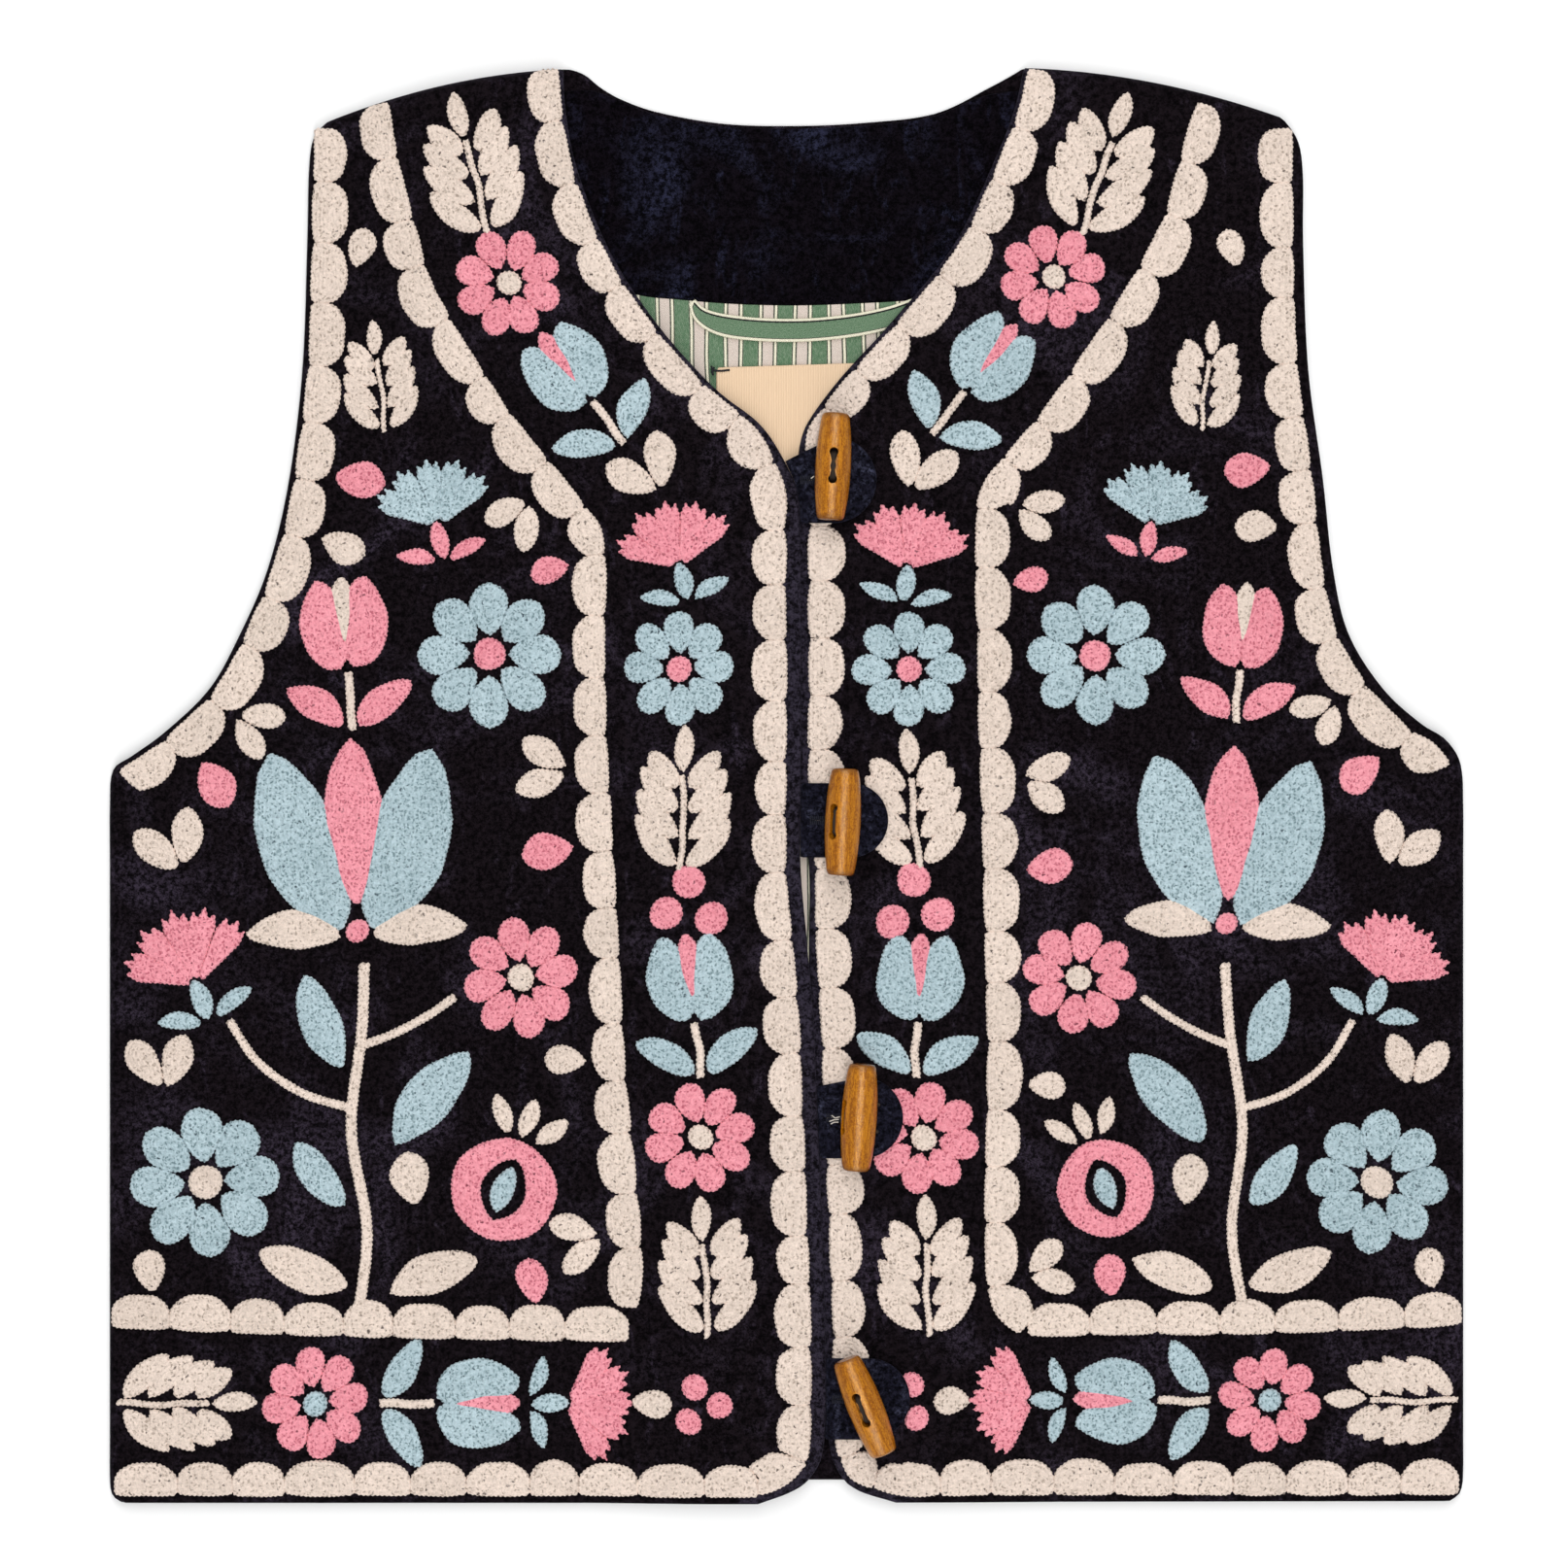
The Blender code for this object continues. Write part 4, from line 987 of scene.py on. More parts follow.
class Shader:
    """A material's node tree, with short ways to add its nodes."""

    def __init__(self, name):
        self.material = bpy.data.materials.new(name)
        self.material.use_nodes = True
        self.tree = self.material.node_tree
        self.principled = self.tree.nodes["Principled BSDF"]

    def link(self, source, target):
        """Joins a socket to the target, or sets the target where the source is a plain value."""
        if hasattr(source, "is_output"):
            self.tree.links.new(source, target)
        else:
            target.default_value = source

    def node(self, kind, inputs=(), **settings):
        """A new node with its settings made first, and then its inputs linked or set."""
        made = self.tree.nodes.new("ShaderNode" + kind)
        for key, value in settings.items():
            setattr(made, key, value)
        for key, source in dict(inputs).items():
            self.link(source, made.inputs[key])
        return made

    def math(self, operation, *values):
        return self.node("Math", enumerate(values), operation=operation).outputs[0]

    def plus(self, first, *others):
        for other in others:
            first = self.math("ADD", first, other)
        return first

    def minus(self, first, second):
        return self.math("SUBTRACT", first, second)

    def times(self, first, second):
        return self.math("MULTIPLY", first, second)

    def from_whole(self, turns):
        """0.5 at each whole number of turns, and 0 half way between two."""
        return self.math("ABSOLUTE", self.minus(self.math("FRACT", turns), 0.5))

    def place(self, scale=MILLIMETRES, turn=0.0):
        """Object coordinates in millimetres, stretched and turned about the vertical."""
        coordinates = self.node("TexCoord").outputs["Object"]
        rotation = (0.0, 0.0, math.radians(turn))
        inputs = {"Vector": coordinates, "Scale": scale, "Rotation": rotation}
        return self.node("Mapping", inputs).outputs[0]

    def noise(self, place, scale, detail=2.0, roughness=0.5, distortion=0.0):
        inputs = {"Vector": place, "Scale": scale, "Detail": detail, "Roughness": roughness,
                  "Distortion": distortion}
        return self.node("TexNoise", inputs).outputs["Fac"]

    def sway(self, place, scale, amount):
        """Noise of this amount about zero."""
        return self.times(self.minus(self.noise(place, scale), 0.5), amount)

    def warped(self, place, scale, amount):
        """Coordinates pushed about unevenly, by a share of this many millimetres."""
        push = self.node("TexNoise", {"Vector": place, "Scale": scale}).outputs["Color"]
        inputs = {0: push, 1: (amount, amount, amount), 2: place}
        return self.node("VectorMath", inputs, operation="MULTIPLY_ADD").outputs[0]

    def ramp(self, source, low, high):
        """0 below the first value and 1 above the second, with a smooth rise between."""
        inputs = {"Value": source, "From Min": low, "From Max": high}
        return self.node("MapRange", inputs, interpolation_type="SMOOTHSTEP").outputs["Result"]

    def mix(self, share, first, second):
        return self.node("Mix", {0: share, 6: first, 7: second}, data_type="RGBA").outputs[2]

    def bump(self, height, distance, strength=1.0, below=None):
        made = self.node("Bump", {"Height": height, "Distance": distance, "Strength": strength})
        if below is not None:
            self.link(below, made.inputs["Normal"])
        return made.outputs["Normal"]

    def axes(self, vector):
        return self.node("SeparateXYZ", {0: vector}).outputs

    def marks(self):
        """The three numbers that a mesh stores at each of its points."""
        return self.axes(self.node("Attribute", attribute_name="marks").outputs["Vector"])

    def finish(self, colour, normal=None, roughness=0.8, **constants):
        self.link(colour, self.principled.inputs["Base Color"])
        self.link(roughness, self.principled.inputs["Roughness"])
        if normal is not None:
            self.link(normal, self.principled.inputs["Normal"])
        for key, value in constants.items():
            self.link(value, self.principled.inputs[key.replace("_", " ")])
        return self.material


# Each velvet's dark colour, and the lighter colour of its painted sheen.
Nap = namedtuple("Nap", "dark light")
VELVET = Nap((0.0056, 0.0038, 0.0051, 1.0), (0.0225, 0.0170, 0.0270, 1.0))
FACING_VELVET = Nap((0.0032, 0.0022, 0.0037, 1.0), (0.0130, 0.0140, 0.0290, 1.0))
TAB_VELVET = Nap((0.0068, 0.0066, 0.0125, 1.0), (0.0290, 0.0305, 0.0520, 1.0))
# Colour of the painted sheen along a front's opening edge.
EDGE_SHEEN_COLOUR = (0.0200, 0.0166, 0.0260, 1.0)
VELVET_LINT = (0.060, 0.060, 0.075, 1.0)
VELVET_SHEEN = (0.60, 0.55, 0.80, 1.0)
# Sizes of the painted sheen patches on the panels and on the tabs.
PANEL_SHEEN_PATCH = 0.017
TAB_SHEEN_PATCH = 0.14


def nap_sheen(shader, pile, patch):
    """Painted sheen where the nap catches the light: in soft patches and in long strokes."""
    patches = shader.ramp(shader.noise(shader.place(), patch, 4.0, 0.62, 1.2), 0.47, 0.78)
    strokes = shader.noise(shader.place((130.0, 55.0, 1000.0), 12.0), 1.0, 3.0, 0.6, 0.8)
    lit = shader.math("MAXIMUM", patches, shader.ramp(strokes, 0.54, 0.84))
    return shader.times(lit, shader.plus(pile, 0.35))


def velvet(name, nap=VELVET, patch=PANEL_SHEEN_PATCH):
    """Short dark nap, painted lighter as sheen in soft patches and long strokes, and more so along a
    front's opening edge.
    """
    shader = Shader(name)
    place = shader.place()
    pile = shader.ramp(shader.noise(place, 0.48, 6.0, 0.85), 0.40, 0.62)
    # Painted sheen in soft patches and long strokes of the nap.
    colour = shader.mix(nap_sheen(shader, pile, patch), nap.dark, nap.light)
    # More painted sheen along a front's opening edge, where its marks are set.
    raised = shader.times(shader.marks()[0], shader.plus(pile, 0.45))
    colour = shader.mix(raised, colour, EDGE_SHEEN_COLOUR)
    value = shader.plus(shader.times(pile, 1.60), 0.20)
    shaded = shader.node("HueSaturation", {"Value": value, "Color": colour}).outputs["Color"]
    lint = shader.noise(shader.place((260.0, 800.0, 1000.0), 40.0), 1.0, 2.0, 0.5)
    colour = shader.mix(shader.times(shader.ramp(lint, 0.79, 0.86), 0.45), shaded, VELVET_LINT)
    fibres = shader.bump(shader.noise(place, 2.0, 3.0, 0.75), 0.0006, 0.7)
    soft = shader.bump(shader.noise(place, 0.11, 3.0, 0.5), 0.0012, 0.5, fibres)
    return shader.finish(colour, soft, 0.95, Specular_IOR_Level=0.03, Sheen_Weight=0.05,
                         Sheen_Roughness=0.35, Sheen_Tint=VELVET_SHEEN)


STITCH_ROW = 1.45
STITCH_CELL = 1.55
# Each yarn: its light and dark tones, the painted shade of the dots between loops and of the loops' holes,
# and the share of dots that get painted shade.
Yarn = namedtuple("Yarn", "light dark pip hole soft_pips")
YARNS = {
    "cream": Yarn((0.925, 0.770, 0.670, 1.0), (0.620, 0.515, 0.440, 1.0), (0.440, 0.350, 0.285, 1.0),
                  (0.045, 0.032, 0.030, 1.0), 0.60),
    "pink": Yarn((1.000, 0.395, 0.465, 1.0), (0.710, 0.215, 0.265, 1.0), (0.530, 0.120, 0.170, 1.0),
                 (0.110, 0.020, 0.035, 1.0), 0.85),
    "blue": Yarn((0.560, 0.700, 0.755, 1.0), (0.290, 0.400, 0.440, 1.0), (0.165, 0.250, 0.275, 1.0),
                 (0.025, 0.042, 0.060, 1.0), 0.90),
}


def stitch_rows(shader, near, place):
    """0.5 along the middle of a row of loops and 0 between two rows, by distance from the edge."""
    turns = shader.math("DIVIDE", shader.plus(near, shader.sway(place, 0.30, 1.5)), STITCH_ROW)
    return shader.minus(0.5, shader.from_whole(turns))


def stitch_pips(shader, place):
    """Ragged dots between the loops, and three chances for each dot."""
    inputs = {"Vector": shader.warped(place, 0.5, 3.0), "Scale": 1.0 / STITCH_CELL, "Randomness": 0.85}
    cells = shader.node("TexVoronoi", inputs, feature="F1", voronoi_dimensions="2D").outputs
    ragged = shader.plus(cells["Distance"], shader.sway(place, 1.6, 0.6))
    spot = shader.minus(1.0, shader.ramp(ragged, 0.05, 0.44))
    return spot, shader.node("SeparateColor", {0: cells["Color"]}).outputs


def yarn_tone(shader, place, near, chance, row, fibres):
    """How light the yarn is: by its fibres, clumps and the patch's own chance, with painted shade between
    its rows and a painted highlight along its rim.
    """
    clumps = shader.ramp(shader.noise(place, 0.6, 3.0, 0.7), 0.38, 0.62)
    # A painted highlight along the patch's rim.
    rim_highlight = shader.minus(1.0, shader.ramp(near, 0.25, 1.0))
    # The rows add painted shade between one row and the next.
    tone = shader.plus(shader.times(shader.ramp(fibres, 0.34, 0.62), 0.50), shader.times(clumps, 0.36),
                       shader.times(row, 0.24), shader.times(rim_highlight, 0.30), 0.10)
    worn = shader.minus(tone, shader.times(chance, 0.16))
    return shader.plus(worn, shader.sway(place, 0.06, 0.5))


def chain_stitch(name, yarn):
    """Rows of woollen loops that follow a patch's outline, with painted shade in the small dark holes of
    the loops and in the dots between them.
    """
    shader = Shader(name)
    place = shader.place()
    near, chance, _ = shader.marks()
    row = stitch_rows(shader, near, place)
    spot, chances = stitch_pips(shader, place)
    fibres = shader.noise(place, 1.4, 4.0, 0.8)
    raised = shader.plus(shader.times(row, 1.1), shader.times(fibres, 0.9))
    relief = shader.minus(raised, shader.times(spot, 0.55))
    colour = shader.mix(yarn_tone(shader, place, near, chance, row, fibres), yarn.dark, yarn.light)
    # Painted shade in some of the dots between the loops, and deeper painted shade in a few of the loops'
    # holes.
    soft = shader.ramp(chances[0], 1.0 - yarn.soft_pips, 1.3 - yarn.soft_pips)
    colour = shader.mix(shader.times(spot, soft), colour, yarn.pip)
    deep_shade = shader.times(spot, shader.ramp(chances[1], 0.93, 0.98))
    colour = shader.mix(shader.times(deep_shade, 0.85), colour, yarn.hole)
    return shader.finish(colour, shader.bump(relief, 0.0006, 0.85), 0.9, Specular_IOR_Level=0.12,
                         Sheen_Weight=0.06, Sheen_Roughness=0.5)


LINING_GREEN = (0.078, 0.164, 0.084, 1.0)
LINING_CREAM = (0.840, 0.790, 0.610, 1.0)
LINING_MAUVE = (0.660, 0.550, 0.490, 1.0)
LINING_DARK = (0.036, 0.042, 0.028, 1.0)
LINING_SLUB = (0.60, 0.66, 0.52, 1.0)
LINING_PERIOD = 13.2
LINING_MIDDLE = 6.0
# Colours outwards from the middle of a mauve stripe and from the loop's edge: each fades in between two
# distances.
Band = namedtuple("Band", "start end colour")
LINING_BANDS = (
    Band(1.85, 2.00, LINING_DARK),
    Band(2.45, 2.60, LINING_CREAM),
    Band(3.35, 3.45, LINING_DARK),
    Band(3.75, 3.90, LINING_GREEN),
)
LOOP_BANDS = (Band(0.95, 1.10, LINING_DARK), Band(1.25, 1.45, LINING_GREEN))
WEAVE_PITCH = 0.45


def banded(shader, distance, colour, bands):
    for band in bands:
        colour = shader.mix(shader.ramp(distance, band.start, band.end), colour, band.colour)
    return colour


def woven_cotton(shader, colour, threads, slub):
    """A plain weave with uneven paler threads over its colour."""
    place = shader.place()
    axes = shader.axes(place)
    waves = [shader.math("SINE", shader.times(axes[i], math.pi / WEAVE_PITCH)) for i in (0, 1)]
    relief = shader.plus(shader.times(*waves), shader.times(shader.noise(place, 2.5), 0.8))
    pale = shader.mix(shader.times(shader.ramp(threads, 0.35, 0.80), slub), colour, LINING_SLUB)
    return shader.finish(pale, shader.bump(relief, 0.00018, 0.7), 0.8, Specular_IOR_Level=0.25)


def striped_cotton(name):
    """Green, cream and mauve stripes down the lining."""
    shader = Shader(name)
    place = shader.place()
    across = shader.plus(shader.minus(shader.axes(place)[0], LINING_MIDDLE), shader.sway(place, 0.03, 2.4))
    turns = shader.minus(shader.math("DIVIDE", across, LINING_PERIOD), 0.5)
    from_mauve = shader.times(shader.from_whole(turns), LINING_PERIOD)
    threads = shader.noise(shader.place((3800.0, 700.0, 1000.0)), 1.0, 3.0, 0.75)
    return woven_cotton(shader, banded(shader, from_mauve, LINING_MAUVE, LINING_BANDS), threads, 0.32)


def loop_cotton(name):
    """The lining's cloth folded lengthwise: a green middle between two cream lines."""
    shader = Shader(name)
    threads = shader.noise(shader.place(), 2.6, 3.0, 0.75)
    return woven_cotton(shader, banded(shader, shader.marks()[0], LINING_CREAM, LOOP_BANDS), threads, 0.38)


TAPE_TROUGH_SHADE = (0.735, 0.530, 0.348, 1.0)
TAPE_LIGHT = (0.805, 0.595, 0.405, 1.0)
TAPE_RIB = 0.95


def ribbed_tape(name):
    """Cream tape with fine ribs down it, painted darker in the troughs between the ribs as shade."""
    shader = Shader(name)
    across = shader.axes(shader.place())[0]
    ribs = shader.math("SINE", shader.times(across, 2 * math.pi / TAPE_RIB))
    uneven = shader.plus(ribs, shader.noise(shader.place((900.0, 120.0, 1000.0)), 1.0, 2.0, 0.6))
    # The colour follows the ribs' uneven height: painted shade in the troughs between them.
    colour = shader.mix(shader.ramp(uneven, -0.6, 1.6), TAPE_TROUGH_SHADE, TAPE_LIGHT)
    return shader.finish(colour, shader.bump(uneven, 0.00012, 0.8), 0.75, Specular_IOR_Level=0.25)


WOOD_DARK = (0.235, 0.062, 0.002, 1.0)
WOOD_AMBER = (0.520, 0.190, 0.006, 1.0)
WOOD_FLECK = (0.680, 0.290, 0.016, 1.0)
WOOD_PORE = (0.150, 0.036, 0.002, 1.0)
WOOD_END = (0.100, 0.024, 0.002, 1.0)
LACQUER_TINT = (1.0, 0.72, 0.38, 1.0)


def lacquered_wood(name):
    """Amber stained wood with mottled grain under an uneven clear gloss, darker towards the ends."""
    shader = Shader(name)
    place = shader.place()
    grain = shader.noise(shader.place((1000.0, 1000.0, 110.0)), 1.0, 5.0, 0.65, 0.8)
    mottle = shader.noise(place, 1.5, 3.0, 0.7, 0.6)
    figure = shader.plus(shader.times(grain, 0.55), shader.times(mottle, 0.45))
    colour = shader.mix(shader.ramp(figure, 0.40, 0.60), WOOD_DARK, WOOD_AMBER)
    flecks = shader.ramp(shader.noise(shader.place((1500.0, 1500.0, 500.0)), 1.0, 3.0, 0.7), 0.58, 0.72)
    colour = shader.mix(shader.times(flecks, 0.45), colour, WOOD_FLECK)
    pores = shader.ramp(shader.noise(shader.place((2100.0, 2100.0, 420.0)), 1.0, 3.0, 0.7), 0.56, 0.68)
    colour = shader.mix(shader.times(pores, 0.50), colour, WOOD_PORE)
    ends = shader.ramp(shader.math("ABSOLUTE", shader.axes(place)[2]), 17.5, 20.0)
    colour = shader.mix(shader.times(ends, 0.6), colour, WOOD_END)
    relief = shader.bump(shader.noise(place, 1.5, 3.0, 0.7), 0.00026, 0.6)
    return shader.finish(colour, relief, 0.13, Specular_IOR_Level=1.0, Specular_Tint=LACQUER_TINT,
                         Coat_Weight=0.15, Coat_Roughness=0.08, Coat_IOR=1.5, Coat_Normal=relief)


Thread = namedtuple("Thread", "dark light radius")
LOOP_THREAD = Thread((0.003, 0.003, 0.004, 1.0), (0.015, 0.015, 0.018, 1.0), 0.27)
TACK_THREAD = Thread((0.004, 0.004, 0.005, 1.0), (0.020, 0.020, 0.025, 1.0), 0.40)
BUTTONHOLE_THREAD = Thread((0.006, 0.006, 0.010, 1.0), (0.014, 0.015, 0.026, 1.0), 0.27)
TOGGLE_THREAD = Thread((0.010, 0.007, 0.006, 1.0), (0.050, 0.035, 0.025, 1.0), THREAD_RADIUS)
PALE_THREAD = Thread((0.45, 0.40, 0.34, 1.0), (0.75, 0.70, 0.62, 1.0), 0.22)


def twisted_thread(name, thread):
    shader = Shader(name)
    twist = shader.noise(shader.place(turn=35.0), 3.5, 2.0, 0.6)
    colour = shader.mix(twist, thread.dark, thread.light)
    return shader.finish(colour, shader.bump(twist, 0.0002, 0.6), 0.7, Specular_IOR_Level=0.2)


def floor_material():
    shader = Shader("pale_floor")
    tone = shader.noise(shader.place((1.0, 1.0, 1.0)), 2.0, 2.0)
    colour = shader.mix(tone, (0.93, 0.93, 0.93, 1.0), (0.95, 0.95, 0.95, 1.0))
    return shader.finish(colour, None, 0.9, Specular_IOR_Level=0.1)


# Pieces


def make_studio():
    scene = bpy.context.scene
    data = bpy.data.cameras.new("camera")
    data.lens = LENS_MM
    data.sensor_width = SENSOR_MM
    camera = bpy.data.objects.new("camera", data)
    camera.location = (CAMERA_X, CAMERA_Y, CAMERA_HEIGHT)
    scene.collection.objects.link(camera)
    scene.camera = camera
    scene.view_settings.view_transform = "Standard"
    world = bpy.data.worlds.new("studio")
    world.use_nodes = True
    background = world.node_tree.nodes["Background"]
    background.inputs["Color"].default_value = (1.0, 1.0, 1.0, 1.0)
    background.inputs["Strength"].default_value = WORLD_STRENGTH
    scene.world = world
    for lamp in LAMPS:
        light = bpy.data.lights.new(lamp.name, "AREA")
        light.shape = "RECTANGLE"
        light.size, light.size_y = lamp.width, lamp.length
        light.energy = lamp.power
        obj = bpy.data.objects.new(lamp.name, light)
        obj.location = (lamp.x, lamp.y, lamp.z)
        obj.rotation_euler = Vector((lamp.x, lamp.y, lamp.z)).to_track_quat("Z", "X").to_euler()
        scene.collection.objects.link(obj)
    sides = ((-1, -1), (1, -1), (1, 1), (-1, 1))
    corners = [(x * FLOOR_HALF, y * FLOOR_HALF, -THINNEST * MM) for x, y in sides]
    floor = to_object("floor", np.array(corners) / MM, [(0, 1, 2, 3)], floor_material())


def make_panels(jacket):
    """Back panel and both fronts."""
    outline = even_loop(jacket.back_outline(), OUTLINE_STEP)
    back = cloth("velvet_back", [outline], jacket.back_surfaces, velvet("velvet_back"), 5.0)
    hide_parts("back_panel")
    declare_cloth(back)
    for hand in HANDS:
        outline = even_loop(jacket.front_outline(hand), OUTLINE_STEP)
        name = f"velvet_front_{hand}"
        front = cloth(name, [outline], lambda points: jacket.front_surfaces(hand, points), velvet(name))
        # The marks hold how much painted sheen the velvet gets, fading out a few millimetres from the
        # opening edge.
        from_edge = distances(plan_of(front), jacket.edge(hand))
        raised = 1.0 - smoothstep((from_edge - EDGE_SHEEN_REACH) / EDGE_SHEEN_REACH)
        mark(front, np.column_stack([raised, raised, raised]))
        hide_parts(f"front_{hand}")
        declare_cloth(front)


def flat_surfaces(low, thick, rounding=0.5, creases=()):
    """Both faces of a thin layer that lies at one height."""
    def at(points, near):
        raised = crease_height(points, creases)
        q = quarter_round(near, rounding)
        middle, half = low + thick / 2 + raised, thick / 2 * q
        return middle + half, middle - half
    return at


def add_layer(name, outline, low, material, node, creases=(), step=THIN_STEP):
    """A thin flat piece of cloth inside the jacket."""
    loop = even_loop(outline, min(OUTLINE_STEP, step))
    faces = flat_surfaces(low, INSIDE_THICK, creases=creases)

    def own_faces(points):
        return faces(points, outline_distance(points, [loop]))

    obj = cloth(name, [loop], own_faces, material, step, THIN_RINGS)
    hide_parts(node)
    declare_cloth(obj)
    return obj


def make_inside(jacket):
    """Facings, lining, tape and loop."""
    low = [(row.low_x, row.low_y) for row in FACING_ROWS]
    top = [(row.top_x, row.top_y) for row in FACING_ROWS]
    outline = np.vstack([catmull_rom(line, 2.0, plan_length) for line in (low, top[::-1])])
    add_layer("velvet_neck_facing", outline, INSIDE_Z, velvet("velvet_neck_facing", FACING_VELVET),
              "back_neck_facing", CREASES["back"])
    shares = np.linspace(0.0, 1.0, 60)
    end_x = HALF_WIDTH - LINING_INSET
    rise = BACK_HEM_RISE * 4.0 * shares * (1.0 - shares)
    x = np.linspace(-end_x, end_x, 60)
    low_edge = np.column_stack([x, HEM_Y + 1.0 + rise])
    high_edge = np.column_stack([x, HEM_Y + HEM_FACING_DEPTH + rise])
    hem = np.vstack([low_edge, high_edge[::-1]])
    add_layer("velvet_hem_facing", hem, INSIDE_Z, velvet("velvet_hem_facing"),
              "back_hem_facing", step=4.0)
    lining = lining_outline(jacket, x, rise)
    add_layer("striped_lining", lining, INSIDE_Z, striped_cotton("striped_lining"),
              "back_lining", step=4.0)
    label = even_loop(np.array(LABEL_CORNERS), 1.0)
    add_layer("ribbed_tape", label, ON_LINING_Z, ribbed_tape("ribbed_tape"), "label_tape")
    make_loop()


def lining_outline(jacket, x, rise):
    low = np.column_stack([x, HEM_Y + HEM_FACING_DEPTH + GAP + rise])
    sides = {}
    for hand in HANDS:
        side = jacket.side(hand) + np.array([INWARD[hand] * LINING_INSET, -2.0])
        sides[hand] = side[(side[:, 1] > low[0, 1] + LINING_INSET) & (side[:, 1] < 232.0)]
    top = catmull_rom([(row.low_x, row.low_y - GAP) for row in FACING_ROWS], 2.0, plan_length)
    return np.vstack([low, sides["left"], (186.0, 240.0), (150.0, 252.0), top[::-1],
                      (-142.0, 249.5), (-172.0, 240.0), sides["right"][::-1]])


def make_loop():
    """The hanging loop, with its row of dark stitches."""
    rows = catmull_rom(LOOP_LINE, 1.0, plan_length)
    line, half = rows[:, :2], rows[:, 2:] / 2
    side = line_normals(line)
    loop = even_loop(np.vstack([line - side * half, (line + side * half)[::-1]]), 1.0)
    faces = flat_surfaces(ON_LINING_Z, INSIDE_THICK)
    obj = cloth("striped_loop", [loop], lambda points: faces(points, outline_distance(points, [loop])),
                loop_cotton("striped_loop"), 0.7, LOOP_RINGS)
    near = outline_distance(plan_of(obj), [loop])
    mark(obj, np.column_stack([near, near, near]))
    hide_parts("hanging_loop")
    declare_cloth(obj)
    row = line + side * (half - 1.35)
    top = ON_LINING_Z + INSIDE_THICK
    dashes = []
    for start in range(1, len(row) - 4, 3):
        ends = row[start], row[start + 1], row[start + 3]
        dashes.append([(*ends[0], top - 0.1), (*ends[1], top + 0.15), (*ends[2], top - 0.1)])
    tubes("loop_stitches", dashes, LOOP_THREAD.radius, twisted_thread("loop_stitches", LOOP_THREAD))


def tubes(name, lines, radius, material):
    """Short round threads along lines of points in space."""
    curve = bpy.data.curves.new(name, "CURVE")
    curve.dimensions = "3D"
    curve.bevel_depth = radius * MM
    curve.bevel_resolution = 2
    curve.use_fill_caps = True
    for line in lines:
        spline = curve.splines.new("POLY")
        spline.points.add(len(line) - 1)
        for point, place in zip(spline.points, line):
            point.co = (place[0] * MM, place[1] * MM, place[2] * MM, 1.0)
    curve.materials.append(material)
    obj = bpy.data.objects.new(name, curve)
    bpy.context.scene.collection.objects.link(obj)
    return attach(obj, BODY)


def make_embroidery(jacket, materials):
    """Scalloped borders as one piece each, and the flowers and leaves of each front by colour."""
    for hand in HANDS:
        rng = np.random.default_rng(11 if hand == "right" else 23)

        def surface(points):
            return jacket.front_top(hand, points)

        into_panel = -INWARD[hand]
        lines = (
            ("edge", edge_border_line(jacket, hand), into_panel),
            ("armhole", armhole_border_line(jacket, hand), -into_panel),
            ("panel", np.array(PANEL_LINES[hand]), into_panel),
            ("hem", np.array(HEM_LINES[hand]), into_panel),
        )
        for name, line, side in lines:
            border = Stitching(surface)
            add_scallops(border, line, side, rng)
            for piece in border.pieces(f"scallops_{name}_{hand}", materials):
                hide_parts(f"border_{name}_{hand}")
        flowers = Stitching(surface)
        add_panel_motifs(flowers, jacket, hand, rng)
        for name, line, side in lines:
            add_sprigs(flowers, line, side, [row for row in PANEL_SPRIGS if row.line == name], hand, rng)
        for band in ("front", "hem"):
            add_band_motifs(flowers, band, hand, rng)
        flowers.pieces(f"flowers_{hand}", materials)


def edge_x(jacket, y):
    edge = jacket.edge("right")
    return float(np.interp(y, edge[:, 1], edge[:, 0]))


